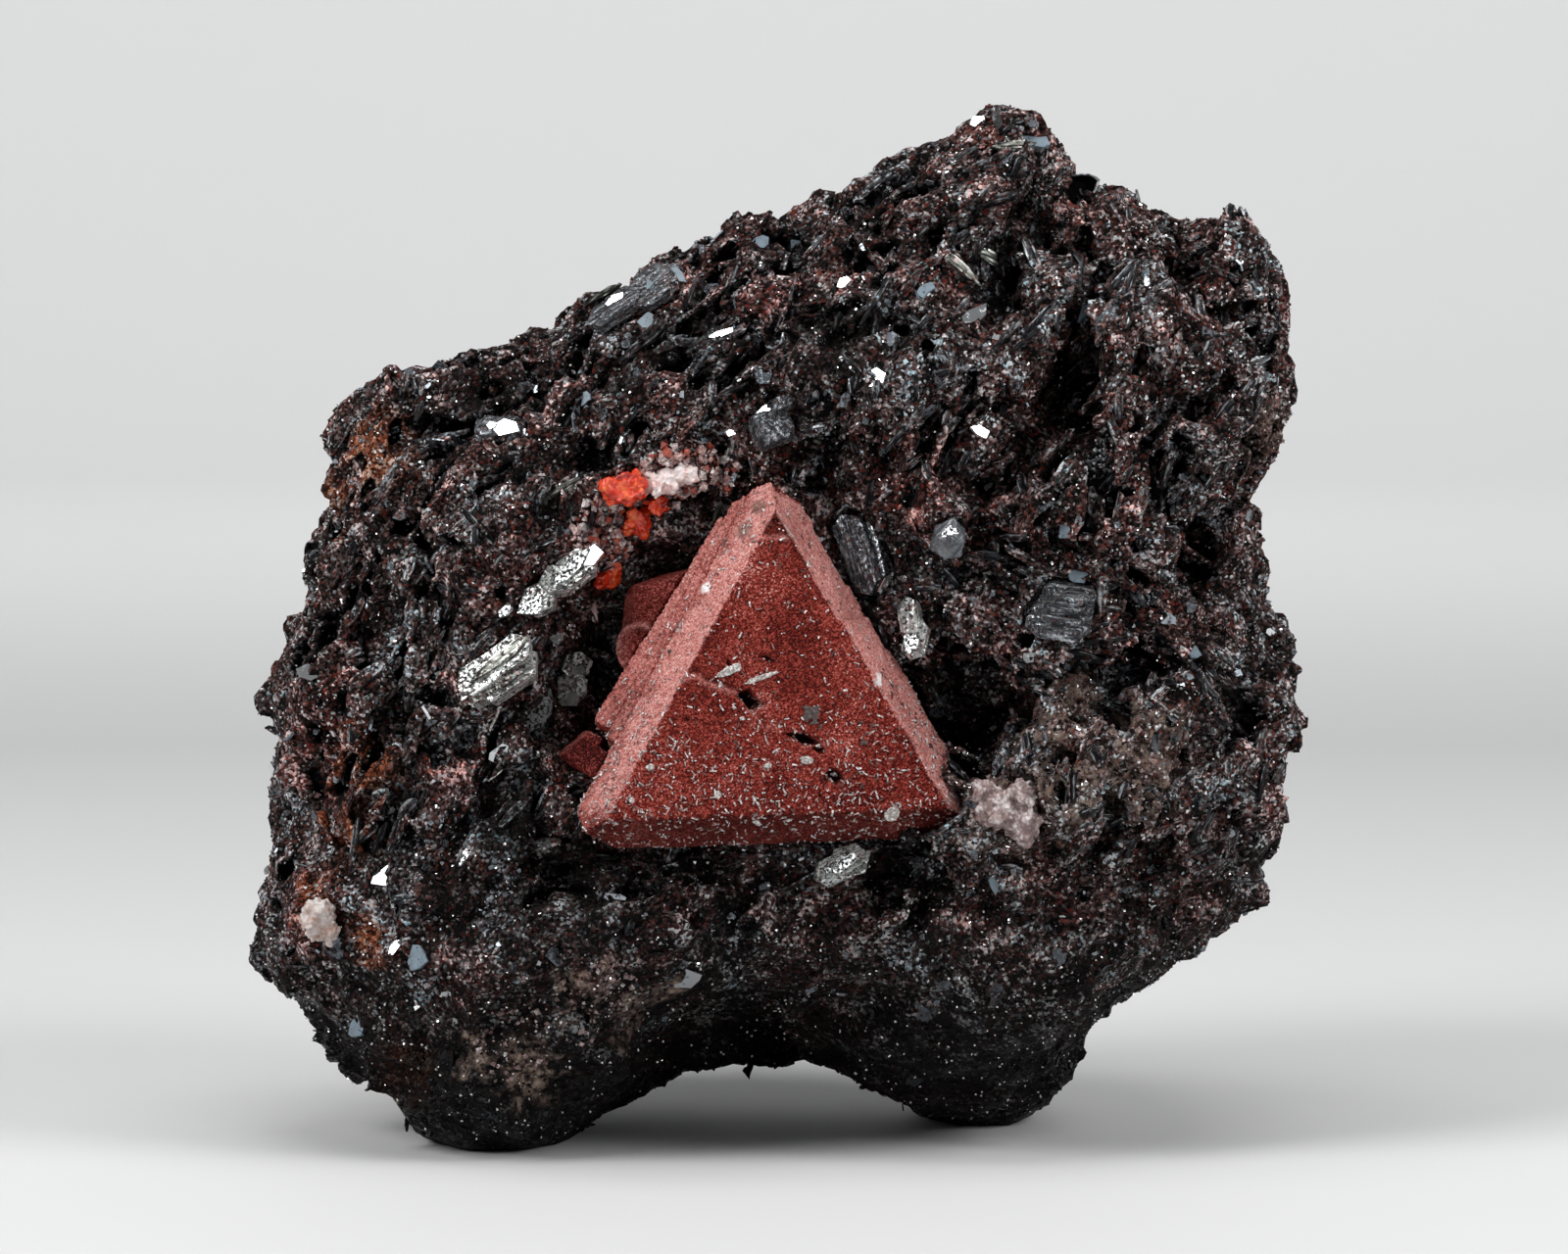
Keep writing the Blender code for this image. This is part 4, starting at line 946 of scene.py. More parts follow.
# Zunyite grains from the darkest to the palest, and where each shade lies on the scale of the noise.
ZUNYITE_POSITIONS = (0.07, 0.28, 0.49, 0.76, 0.97)
# The palest shade stands partly for pale grains and partly for painted glints.
ZUNYITE_SHADES = (
    (0.018, 0.001, 0.001), (0.072, 0.0045, 0.0025), (0.165, 0.0155, 0.0095), (0.385, 0.072, 0.053),
    (0.80, 0.45, 0.41),
)
BRICK_SHADES = (
    (0.06, 0.006, 0.004), (0.13, 0.016, 0.012), (0.24, 0.04, 0.032), (0.48, 0.14, 0.12), (0.8, 0.55, 0.5),
)
DEEP_SHADES = (
    (0.010, 0.001, 0.001), (0.04, 0.004, 0.003), (0.11, 0.012, 0.009), (0.35, 0.07, 0.06), (0.8, 0.5, 0.45),
)
FLECK_SHADES = [
    (0.0, (0.04, 0.02, 0.02)), (0.12, (0.10, 0.06, 0.055)), (0.2, (0.38, 0.14, 0.12)),
    (0.5, (0.62, 0.42, 0.39)), (0.75, (0.9, 0.86, 0.85)), (1.0, (0.97, 0.96, 0.95)),
]
ROD_SHADES = [(0.0, (0.56, 0.53, 0.49)), (0.5, (0.72, 0.70, 0.66)), (1.0, (0.9, 0.89, 0.88))]
SPECK_SHADES = [(0.0, (0.012, 0.013, 0.013)), (1.0, (0.05, 0.052, 0.05))]
NEEDLE_SHADES = [(0.0, (0.62, 0.6, 0.52)), (1.0, (0.85, 0.83, 0.78))]
PINK_SHADES = [
    (0.0, (0.30, 0.03, 0.015)), (0.2, (0.72, 0.10, 0.04)), (0.3, (0.55, 0.3, 0.27)),
    (0.65, (0.80, 0.60, 0.57)), (1.0, (0.95, 0.92, 0.91)),
]
MAUVE_SHADES = [
    (0.0, (0.04, 0.025, 0.024)), (0.4, (0.17, 0.11, 0.105)), (0.75, (0.42, 0.32, 0.31)),
    (1.0, (0.88, 0.86, 0.86)),
]


def low_light(paint):
    """How much painted light the rock gets: little under its overhanging lower part and in the spots of
    painted shade.
    """
    height = paint.height()
    middle = paint.remap(height, 4.0, 16.0, 0.06, 1.0)
    left = paint.remap(height, 5.0, 9.5, 0.1, 1.0)
    across = paint.put("SeparateXYZ", {0: paint.place})
    light = paint.blend(paint.remap(across, -16.0, -10.0, 1.0, 0.0), middle, left)
    return light * (paint.spots(SHADE_SPOTS) * -0.7 + 1.0)


def shaded_low(paint, colour):
    """The colour darkened by painted shade on the rock's lower part and in the spots of painted shade."""
    return paint.mix(low_light(paint), SHADOW, colour)


def crust_colour(paint):
    """Dusty red-brown crust: its colour, the distance to each grain's centre, and how pale it is."""
    patch = paint.remap(paint.fractal(1.3, 4.0, 0.6), 0.38, 0.62, -0.34, 0.14)
    fine = paint.remap(paint.fractal(0.4, 5.0, 0.7), 0.3, 0.7, 0.0, 0.28)
    distance, colours = paint.cells(0.13)
    first, second, third = paint.channels(colours)
    tone = first * 0.74 + fine + patch
    hue = paint.mix(second, (0.8, 1.06, 1.12), (1.25, 0.92, 0.85))
    colour = paint.tint(1.0, paint.ramp(tone, CRUST_SHADES), hue)
    colour = paint.mix(paint.remap(third, 0.92, 0.94, 0.0, 0.6), colour, (0.13, 0.022, 0.013))
    broad = paint.fractal(3.2)
    colour = paint.tint(paint.remap(broad, 0.37, 0.5, 1.0, 0.0), colour, (0.84, 1.0, 1.08))
    redder = paint.calc("MAXIMUM", paint.remap(broad, 0.47, 0.62, 0.0, 0.4), paint.spots(RED_SPOTS) * 0.75)
    return paint.tint(redder, colour, (1.6, 0.8, 0.7)), distance, tone


def rock_material():
    """Dark hematite with a dusty red-brown crust, rust and pale stains, tiny bright crystals, and painted
    shade in the hollows and low down.
    """
    paint = Paint("rock")
    open_value = paint.attribute("open")
    fine = paint.fractal(0.5, 5.0, 0.7)
    earth, grain_distance, tone = crust_colour(paint)
    crust = open_value * 1.3 + paint.fractal(4.5) * 2.0 + fine * 0.8
    # Less crust low down, which is painted shade: it darkens the lower part.
    crust = paint.remap(crust + paint.remap(paint.height(), 6.0, 16.0, -0.4, 0.0), 1.95, 2.55)
    colour = paint.mix(crust, paint.ramp(tone, DARK_SHADES), earth)
    colour = paint.mix(paint.spots(RUST_SPOTS) * 0.85, colour, paint.ramp(tone, RUST_SHADES))
    glitter = paint.cells(0.11)[1]
    spark = paint.remap(paint.channels(glitter)[1], 0.93, 0.95)
    colour = paint.mix(spark, colour, (0.7, 0.71, 0.72))
    # Painted shade: darker in the hollows, by how open a place is, low down and in the shade spots.
    colour = paint.mix(paint.remap(open_value, 0.46, 0.92) * low_light(paint), SHADOW, colour)
    pale_mask = paint.spots(PALE_SPOTS) * paint.remap(fine, 0.42, 0.55)
    colour = paint.mix(pale_mask * 0.55, colour, paint.ramp(fine, PALE_SHADES))
    bump = paint.bump(grain_distance * -0.8 + fine * 1.2, 0.8, 0.12)
    turned = paint.vector("MULTIPLY_ADD", paint.vector("SUBTRACT", glitter, (0.5,) * 3), (1.3,) * 3,
                          paint.put("NewGeometry", output="Normal"))
    turned = paint.vector("NORMALIZE", turned)
    normal = paint.put("Mix", {0: spark, 4: bump, 5: turned}, 1, data_type="VECTOR")
    return paint.finish(Base_Color=colour, Normal=normal, Specular_IOR_Level=0.08,
                        Roughness=paint.blend(spark, paint.blend(crust, 0.34, 0.8), 0.16),
                        Metallic=paint.blend(spark, (1.0 - crust) * 0.5, 0.9))


def striations(paint):
    """Fine streaks along a crystal or plate, from the coordinates stored with it."""
    stretches = (("along", 0.9), ("across", 7.0), ("thin", 7.0))
    stretched = [paint.attribute(name) * scale for name, scale in stretches]
    return paint.fractal(1.0, 3.0, 0.65, paint.put("CombineXYZ", dict(enumerate(stretched))))


def hematite_flake_material():
    """Steel grey, shiny flakes; many are covered by the rock's dusty crust."""
    paint = Paint("hematite_flake")
    random_value = paint.island()
    dust = paint.remap(random_value * -0.5 + paint.fractal(0.25, 4.0, 0.7), 0.12, 0.3)
    earth, grain_distance, _ = crust_colour(paint)
    bump = paint.bump(grain_distance * (dust * -1.0), 0.6, 0.1)
    # Painted shade low down and in the shade spots.
    colour = shaded_low(paint, paint.mix(dust, paint.ramp(random_value, FLAKE_SHADES), earth))
    return paint.finish(Base_Color=colour, Normal=bump, Metallic=1.0 - dust,
                        Roughness=paint.blend(dust, 0.2, 0.8), Specular_IOR_Level=0.1)


def hematite_material(name, shades, holes):
    """Hematite crystal with streaks in three shades and dark holes; more holes with a higher number."""
    paint = Paint(name)
    streak = striations(paint)
    speckle = paint.fractal(0.16, 4.0, 0.7)
    steel = paint.ramp(streak * 0.8 + speckle * 0.25, list(zip((0.38, 0.52, 0.66), shades)))
    hole = paint.remap(speckle, holes, holes + 0.07, 1.0, 0.0)
    return paint.finish(Base_Color=paint.mix(hole, steel, crust_colour(paint)[0]),
                        Normal=paint.bump(streak + hole * -0.6, 0.6, 0.08),
                        Metallic=(1.0 - hole) * 0.75, Roughness=paint.blend(hole, 0.24, 0.8))


def lath_material(name, shades, clean):
    """Striated laths in three shades, each its own brightness; less dust with a higher number."""
    paint = Paint(name)
    random_value = paint.island()
    streak = striations(paint)
    tone = streak * 0.9 + (random_value - 0.5) * 0.16
    steel = paint.ramp(tone, list(zip((0.36, 0.46, 0.56), shades)))
    dust = paint.remap(paint.fractal(0.2, 4.0, 0.7) + random_value * 0.25, clean, clean + 0.1)
    # Painted shade low down and in the shade spots.
    colour = shaded_low(paint, paint.mix(dust, steel, crust_colour(paint)[0]))
    return paint.finish(Base_Color=colour, Normal=paint.bump(streak, 0.8, 0.08), Metallic=(1.0 - dust) * 0.6,
                        Roughness=paint.blend(dust, 0.28, 0.8), Specular_IOR_Level=0.1)


def facet_material(name, colour, worn, metal, roughness, holes):
    """Flat, bright facets with a worn patina; more dark holes with a higher number."""
    paint = Paint(name)
    face = paint.mix(paint.remap(paint.fractal(0.5, 4.0, 0.6), 0.4, 0.75), colour, worn)
    hole = paint.remap(paint.fractal(0.13, 3.0, 0.7), holes, holes + 0.06, 1.0, 0.0)
    return paint.finish(Base_Color=paint.mix(hole, face, (0.012, 0.008, 0.008)),
                        Normal=paint.bump(hole * -1.0, 0.5, 0.06), Metallic=(1.0 - hole) * metal,
                        Roughness=paint.blend(hole, roughness, 0.8))


def rim_material():
    """Thin plate: a silvery rim brightened by painted highlight, and painted shade elsewhere."""
    paint = Paint("leaf_rim")
    speckle = paint.fractal(0.2, 4.0, 0.7)
    dark = paint.mix(speckle, (0.001,) * 3, (0.012, 0.009, 0.009))
    rim = paint.remap(paint.attribute("rim"), 0.3, 0.8)
    return paint.finish(Base_Color=paint.mix(rim, dark, paint.ramp(speckle, RIM_SHADES)), Roughness=0.35,
                        Specular_IOR_Level=0.1)


def spark_material():
    """Tiny bright chips: clear or silvery, each its own tone."""
    paint = Paint("spark")
    random_value = paint.island()
    wear = paint.fractal(0.06, 2.0) * 0.5
    return paint.finish(Base_Color=paint.mix(wear, paint.ramp(random_value, SPARK_SHADES), (0.3, 0.25, 0.24)),
                        Metallic=paint.remap(random_value, 0.55, 0.56, 1.0, 0.0), Roughness=0.14)


def grain_material():
    """Grains of the dusty crust, each a little different, rusty near the rust stains."""
    paint = Paint("crust_grain")
    tone = paint.ramp(paint.island(), GRAIN_SHADES)
    tone = paint.mix(paint.spots(RUST_SPOTS) * 0.7, tone, (0.15, 0.04, 0.016))
    # Painted shade low down and in the shade spots.
    tone = shaded_low(paint, paint.tint(paint.spots(RED_SPOTS), tone, (1.7, 0.8, 0.7)))
    speckle = paint.fractal(0.08)
    return paint.finish(Base_Color=paint.mix(speckle * 0.6, tone, (0.012, 0.006, 0.005)),
                        Roughness=paint.remap(speckle, 0.3, 0.7, 0.5, 0.9), Specular_IOR_Level=0.1)


def zunyite_material(name, shades):
    """Brick-red zunyite: a fine sandpaper grain, paler bevels with painted sheen, painted shade on the bottom
    bevel and in the pits, with stains near the tip.
    """
    paint = Paint(name)
    pale = paint.attribute("pale")
    fine = paint.fractal(0.3, 4.0, 0.65)
    distance, colours = paint.cells(0.062)
    grain = paint.channels(colours)[0]
    mask = grain * 0.62 + fine * 0.3 + (paint.fractal(2.6) - 0.5) * 0.7
    colour = paint.ramp(mask, list(zip(ZUNYITE_POSITIONS, shades)))
    colour = paint.mix(pale * 0.85, colour, paint.ramp(grain * 0.45 + fine * 0.55, PALE_AND_SHEEN_SHADES))
    colour = paint.mix(paint.attribute("shaded"), colour, (0.010, 0.002, 0.002))
    brown = paint.ramp(fine, [(0.35, (0.045, 0.025, 0.018)), (0.7, (0.20, 0.13, 0.10))])
    grey = paint.ramp(fine, [(0.35, (0.05, 0.045, 0.045)), (0.65, (0.55, 0.52, 0.5))])
    for stains, stain_colour, strength in ((BROWN_STAINS, brown, 0.75), (GREY_STAINS, grey, 0.75),
                                           (WHITE_STAINS, (0.85, 0.83, 0.82), 0.95)):
        colour = paint.mix(paint.spots(stains, 0.5, 0.5) * strength, colour, stain_colour)
    bump = paint.bump(distance * -0.8 + fine, paint.blend(pale, 0.75, 0.4), 0.09)
    roughness = paint.blend(pale, paint.remap(grain, 0.0, 1.0, 0.45, 0.7), 0.5)
    return paint.finish(Base_Color=colour, Normal=bump, Roughness=roughness, Specular_IOR_Level=0.08)


def speck_material(name, shades):
    """Small minerals, each with its own tone and a fine dark speckle."""
    paint = Paint(name)
    speckle = paint.fractal(0.11, 3.0, 0.7)
    dark = paint.remap(speckle, 0.48, 0.6, 1.0, 0.0) * 0.7
    return paint.finish(Base_Color=paint.mix(dark, paint.ramp(paint.island(), shades), (0.09, 0.05, 0.045)),
                        Normal=paint.bump(speckle, 0.6, 0.05),
                        Roughness=paint.remap(speckle, 0.3, 0.7, 0.25, 0.6))


def glassy_material(name, shades, clearness, roughness, density):
    """Clear to milky crystal: transmission with coloured absorption, clouds, and uneven faces."""
    paint = Paint(name)
    cloud = paint.fractal(0.55, 4.0, 0.6)
    fine = paint.fractal(0.14)
    colour = paint.ramp(cloud * 0.75 + fine * 0.25, list(zip((0.32, 0.5, 0.66), shades)))
    absorption = paint.put("VolumeAbsorption", {"Color": shades[1], "Density": density})
    paint.feed(paint.tree.nodes["Material Output"], {"Volume": absorption})
    return paint.finish(Base_Color=colour, Normal=paint.bump(cloud + fine, 0.5, 0.08), Roughness=roughness,
                        IOR=1.55, Transmission_Weight=clearness)


def plain_material(name, colour, roughness):
    """Even studio surface with a faint variation."""
    paint = Paint(name)
    return paint.finish(Base_Color=paint.mix(paint.fractal(60.0, 2.0) * 0.06, colour, (0.6,) * 3),
                        Roughness=roughness)


# ---- Flakes and grains on the rock ----
def front_weight(points, normals, values):
    """More pieces where the surface faces the front or the sides, none on the feet."""
    return (0.35 + 1.6 * np.clip(-normals[:, 1], 0, 1)) * (points[:, 2] > 0.5)


def hollow_weight(points, normals, values):
    """Like front_weight, and more in the hollows than on the ridges."""
    return front_weight(points, normals, values) * (1.3 - values)


def lath_weight(points, normals, values):
    """Like front_weight, and mostly where the rock is platy."""
    return front_weight(points, normals, values) * plate_share(points) ** 2 * (1.2 - 0.6 * values)


def ridge_weight(points, normals, values):
    """Like front_weight, and more on the ridges."""
    return front_weight(points, normals, values) * (0.15 + values ** 2)


def hematite_blades(rock, rng, material):
    """Blades that stick out of the hollows, roughly along the ridges."""
    sizes = small_sizes(rng, BLADE_COUNT, *BLADE_SIZE)
    points, normals, _ = surface_samples(rock, rng, BLADE_COUNT, hollow_weight)
    facing = 1.6 * normals + rng.normal(0, 0.5, (BLADE_COUNT, 3))
    along = flow_directions(points) + rng.normal(0, 0.5, (BLADE_COUNT, 3))
    outlines = ragged_outlines(rng, sizes, sizes * rng.uniform(0.45, 0.8, BLADE_COUNT), 6, 0.15)
    blades = plate_object("hematite_blades", points, facing, along, outlines,
                          rng.uniform(0.02, 0.06, BLADE_COUNT))
    finish_piece(blades, material, smooth=False)


def hematite_laths(rock, rng):
    """Long striated laths that lie along the front, by the CAD solid's normals."""
    lengths = small_sizes(rng, LATH_COUNT, *LATH_LENGTH)
    points, _, _ = surface_samples(rock, rng, LATH_COUNT, lath_weight)
    form = surface_tree(node_copy("matrix", "scratch"))
    normals = np.array([form.find_nearest(Vector(p))[1] for p in points])
    outlines = ragged_outlines(rng, lengths, rng.uniform(*LATH_WIDTH, LATH_COUNT), 8, 0.12)
    facing = normals + rng.normal(0, 0.22, (LATH_COUNT, 3))
    along = flow_directions(points) + rng.normal(0, 0.4, (LATH_COUNT, 3))
    front = (normals[:, 1] < LATH_FACING) & (points[:, 0] > LATH_LEFT)
    laths = plate_object("hematite_laths", points[front], facing[front], along[front], outlines[front],
                         rng.uniform(0.07, 0.14, LATH_COUNT)[front])
    finish_piece(laths, lath_material("hematite_lath", LATH_SHADES, 0.57), smooth=False)


def hematite_chips(rock, rng, material):
    """Small chips all over the rock."""
    sizes = small_sizes(rng, CHIP_COUNT, *CHIP_SIZE)
    points, normals, _ = surface_samples(rock, rng, CHIP_COUNT, front_weight)
    facing = normals + rng.normal(0, 0.55, (CHIP_COUNT, 3))
    outlines = ragged_outlines(rng, sizes, sizes * rng.uniform(0.5, 0.95, CHIP_COUNT), 4, 0.25)
    chips = plate_object("hematite_chips", points + normals * 0.03, facing, rng.normal(size=(CHIP_COUNT, 3)),
                         outlines, rng.uniform(0.015, 0.05, CHIP_COUNT))
    finish_piece(chips, material, smooth=False)


def bright_sparks(rock, rng):
    """Tiny three-cornered plates that catch the light."""
    sizes = rng.uniform(*SPARK_SIZE, SPARK_COUNT)
    points, normals, _ = surface_samples(rock, rng, SPARK_COUNT, front_weight)
    outlines = ragged_outlines(rng, sizes, sizes * rng.uniform(0.6, 1.0, SPARK_COUNT), 3, 0.2)
    facing = normals + rng.normal(0, 0.6, (SPARK_COUNT, 3))
    sparks = plate_object("bright_sparks", points + normals * 0.04, facing, rng.normal(size=(SPARK_COUNT, 3)),
                          outlines, rng.uniform(0.02, 0.04, SPARK_COUNT))
    finish_piece(sparks, spark_material(), smooth=False)


def rock_flakes(rock):
    """Shiny hematite blades and chips, tiny sparks, and the grains of the crust."""
    rng = np.random.default_rng(FLAKE_SEED)
    steel = hematite_flake_material()
    hematite_blades(rock, rng, steel)
    hematite_laths(rock, rng)
    hematite_chips(rock, rng, steel)
    bright_sparks(rock, rng)
    points, _, _ = surface_samples(rock, rng, GRAIN_COUNT, ridge_weight)
    grains = grain_object("crust_grains", rng, points, rng.uniform(*GRAIN_SIZE, GRAIN_COUNT))
    finish_piece(grains, grain_material(), smooth=False)


# ---- Single plates and heaps of grains on the front ----
def front_tree(rock):
    """BVH tree of the rock's surface and the crystals."""
    points, faces = crystal_arrays()
    base = len(points)
    points.extend(v.co for v in rock.data.vertices)
    faces.extend([[i + base for i in p.vertices] for p in rock.data.polygons])
    return BVHTree.FromPolygons(points, faces)


def front_point(tree, place):
    """Point of the front surface at (x, z) or, just outside the outline, the nearest one, and its normal."""
    location, normal, _, _ = tree.ray_cast(Vector((place[0], -40.0, place[1])), Vector((0, 1, 0)))
    if location is None:
        location, normal, _, _ = tree.find_nearest(Vector((place[0], -8.0, place[1])))
    return location, normal


def single_plates(name, plates, tree, material, corners=6, ragged=0.2, half_height=0.07, lift=0.04,
                  mirror=0.0):
    """Plates at given places of the front; with mirror = 1 they face halfway from the lens to a soft box."""
    rng = np.random.default_rng(FLAKE_SEED + len(name))
    centres, facings = [], []
    for place, _, _, _ in plates:
        location, normal = front_point(tree, place)
        glint = GLINT_LEFT if place[0] < GLINT_CHANGE else GLINT_RIGHT
        facings.append(glint * mirror + normal * (1 - mirror))
        centres.append(location + Vector((0, -lift, 0)))
    lengths, widths, turns = np.array([plate[1:] for plate in plates]).T
    outlines = ragged_outlines(rng, lengths * PLATE_GROWTH, widths * PLATE_GROWTH, corners, ragged)
    facings = np.array(facings) + rng.normal(0, 0.03, (len(plates), 3))
    piece = plate_object(name, np.array(centres), facings, directions(turns), outlines,
                         np.full(len(plates), half_height))
    finish_piece(piece, material, smooth=False)


def leaf_cup(tree):
    """A leaf-shaped hollow, dark with painted shade, with a thin silvery rim, near the top of the rock."""
    rng = np.random.default_rng(FLAKE_SEED + 77)
    centre = front_point(tree, LEAF_PLACE)[0] + Vector((0, -LEAF_LIFT, 0))
    turn = Matrix.Rotation(-math.radians(LEAF_TURN), 3, "Y")
    wobble = rng.uniform(0.84, 1.12, LEAF_POINTS)
    bm = bmesh.new()
    rings = []
    for radius, depth, _ in LEAF_PROFILE:
        ring = []
        for index in range(LEAF_POINTS):
            angle = 2 * math.pi * index / LEAF_POINTS
            reach = radius * wobble[index]
            pointed = math.copysign(abs(math.sin(angle)) ** 1.5, math.sin(angle))
            place = Vector((math.cos(angle) * reach * LEAF_SIZE[0], depth, pointed * reach * LEAF_SIZE[1]))
            ring.append(bm.verts.new(centre + turn @ place))
        rings.append(ring)
    for first, second in zip(rings, rings[1:]):
        for index in range(LEAF_POINTS):
            following = (index + 1) % LEAF_POINTS
            bm.faces.new((first[index], first[following], second[following], second[index]))
    bm.faces.new(rings[0][::-1])
    bm.faces.new(rings[-1])
    bmesh.ops.recalc_face_normals(bm, faces=bm.faces)
    leaf = bmesh_object("leaf_cup", bm)
    set_attribute(leaf.data, "rim", np.repeat([rim for _, _, rim in LEAF_PROFILE], LEAF_POINTS))
    finish_piece(leaf, rim_material(), smooth=False)


def front_plates(tree):
    """The single facets, laths and needles that show in the photograph."""
    white = facet_material("white_facet", (0.95, 0.96, 0.97), (0.75, 0.74, 0.72), 0.8, 0.2, 0.3)
    steel = facet_material("steel_facet", (0.16, 0.215, 0.26), (0.09, 0.11, 0.13), 0.0, 0.4, 0.33)
    speckled = facet_material("speckled_facet", (0.85, 0.88, 0.88), (0.4, 0.44, 0.45), 0.7, 0.3, 0.46)
    pale_lath = lath_material("pale_lath", PALE_LATH_SHADES, 0.64)
    needle = speck_material("needle", NEEDLE_SHADES)
    single_plates("white_facets", WHITE_FACETS, tree, white, corners=5, mirror=1.0)
    single_plates("steel_facets", STEEL_FACETS, tree, steel, corners=7, ragged=0.45, mirror=0.5)
    single_plates("speckled_facets", SPECKLED_FACETS, tree, speckled, corners=10, mirror=0.9)
    single_plates("pale_laths", PALE_LATHS, tree, pale_lath, corners=8, half_height=0.12, lift=0.08,
                  mirror=0.6)
    single_plates("pale_needles", PALE_NEEDLES, tree, needle, half_height=0.035, lift=0.15)
    leaf_cup(tree)


def quartz_heaps(rock):
    """Heaps of small quartz grains round the orange crystals and in the pale patches."""
    rng = np.random.default_rng(FLAKE_SEED + 5)
    kinds = (("pink_grains", PINK_HEAPS, PINK_GRAINS, PINK_SHADES),
             ("mauve_grains", MAUVE_HEAPS, MAUVE_GRAINS, MAUVE_SHADES))
    for name, heaps, (count, low, high), shades in kinds:
        points, normals, _ = surface_samples(rock, rng, count, lambda p, n, v: near_spots(p, heaps))
        sizes = small_sizes(rng, count, low, high)
        grains = grain_object(name, rng, points + normals * (sizes * 0.2)[:, None], sizes)
        finish_piece(grains, speck_material(name, shades), smooth=False)


# ---- Large crystal ----
def face_point(place, out=0.0):
    """Point in the frame from (right, up) on the large crystal's front face."""
    return FACE_CENTRE + FACE_RIGHT * place[0] + Vector((0, 0, place[1])) + FACE_OUT * out


def bell(values, width):
    """1 at 0, falling to 0 on both sides."""
    return np.exp(-(values / width) ** 2)


def face_relief(right, up, wobble):
    """Front face: its height with ledge, tip and pits, painted highlights on its lips, painted shade in its
    pits and above the ledge, and a darker set-back tip.
    """
    line = np.array(LEDGE_LINE)
    edge = np.interp(right, line[:, 0], line[:, 1]) + 0.14 * wobble
    reach = np.clip((0.2 - right) / 1.4, 0, 1)
    height = LEDGE_RISE * smooth_step(edge - up, 0.08) * np.clip((1.2 - right) / 2.2, 0, 1)
    tip_edge = TIP_LINE + 0.1 * wobble
    height -= TIP_DROP * smooth_step(up - tip_edge, 0.06)
    # lip: painted highlights on the lips of the ledge and the tip; dark: painted shade above the ledge, and
    # the darker set-back tip.
    lip = np.maximum(reach * bell(up - edge + 0.03, 0.1), bell(up - tip_edge + 0.05, 0.09))
    dark = 0.3 * (up > tip_edge) + 0.35 * reach * bell(up - edge - 0.22, 0.12)
    for (pit_right, pit_up), (half_width, half_height), depth in PITS:
        aside = right - pit_right
        away = np.abs(aside) / half_width + np.abs(up - pit_up + 0.3 * aside) / half_height
        away = 0.85 * away + 0.3 * wobble
        inside = smooth_step(1.0 - away, 0.35)
        height -= depth * inside
        # Painted highlight on the lower rim of each pit, painted shade inside it.
        rim = bell(away - 1.25, 0.16) * (up < pit_up + 0.4 * half_height)
        lip = np.maximum(lip, 0.9 * depth * rim)
        dark = np.maximum(dark, inside * min(1.0, 2.2 * depth))
    return height, lip, dark


def facet_shares(points, node):
    """Share of the front face and of each bevel at each vertex, by the CAD facet nearest to it."""
    tree = surface_tree(node_copy(node, "scratch"))
    normals = np.array([tree.find_nearest(Vector(p))[1] for p in points])
    return [(normals @ np.array(facet.normalized()) > 0.985).astype(float)
            for facet in (FACE_OUT, LEFT_BEVEL, RIGHT_BEVEL, BOTTOM_BEVEL)]


def zunyite_relief(points):
    """Fine relief of a zunyite surface, with thin growth layers that end in ragged steps."""
    layers = smooth_step(noise_array(points, 1.9) + 0.35 * noise_array(points, 0.5), 0.03)
    return 0.05 * layers + 0.02 * noise_array(points, 0.17) + 0.012 * noise_array(points, 0.08)


def zunyite_crystal():
    """The large crystal with its granular faces, ledges and pits."""
    crystal, points, normals = remeshed_node("zunyite_crystal", "zunyite_surface", CRYSTAL_VOXEL)
    front, left, right, bottom = facet_shares(points, "zunyite_crystal")
    offsets = points - np.array(FACE_CENTRE)
    out = offsets @ np.array(FACE_OUT)
    wobble = noise_array(points, 0.35)
    relief, lip, dark = face_relief(offsets @ np.array(FACE_RIGHT), offsets[:, 2], wobble)
    overgrown = smooth_step(-out - 1.0 + 0.5 * noise_array(points, 1.1), 0.12)
    stepped = smooth_step(noise_array(points * np.array((1.0, 1.0, 0.55)), 1.2), 0.06)
    heights = zunyite_relief(points) * (1 - 0.6 * front)
    heights += relief * front
    heights += 0.09 * overgrown * left
    heights += 0.11 * stepped * right
    heights -= NOTCH_DEPTH * smooth_step(points[:, 2] - NOTCH_HEIGHT + 0.1 * wobble, 0.06) * (
        (normals[:, 0] > 0.3) & (normals[:, 2] > -0.2))
    set_vertices(crystal.data, points + normals * heights[:, None])
    apply_modifier(crystal, "TRIANGULATE")
    streaks = noise_array(points * np.array((1.0, 1.0, 0.6)), 1.4)
    # Paler on the side bevels, partly their own smoother surface and partly painted sheen, with painted
    # highlights on the lips.
    pale = left * (1.0 - 0.5 * overgrown + 0.3 * streaks) + right * (0.9 + 0.4 * streaks) + 0.55 * lip * front
    pale *= 1 - 0.75 * near_spots(points, [RED_CORNER], 0.6)
    set_attribute(crystal.data, "pale", np.clip(pale, 0, 1))
    # Painted shade on the bottom bevel and in the pits.
    set_attribute(crystal.data, "shaded", 0.55 * bottom + dark * front)
    face_minerals(surface_tree(crystal))
    crystal_flecks(crystal)
    finish_piece(crystal, zunyite_material("zunyite", ZUNYITE_SHADES), ["zunyite_crystal"])


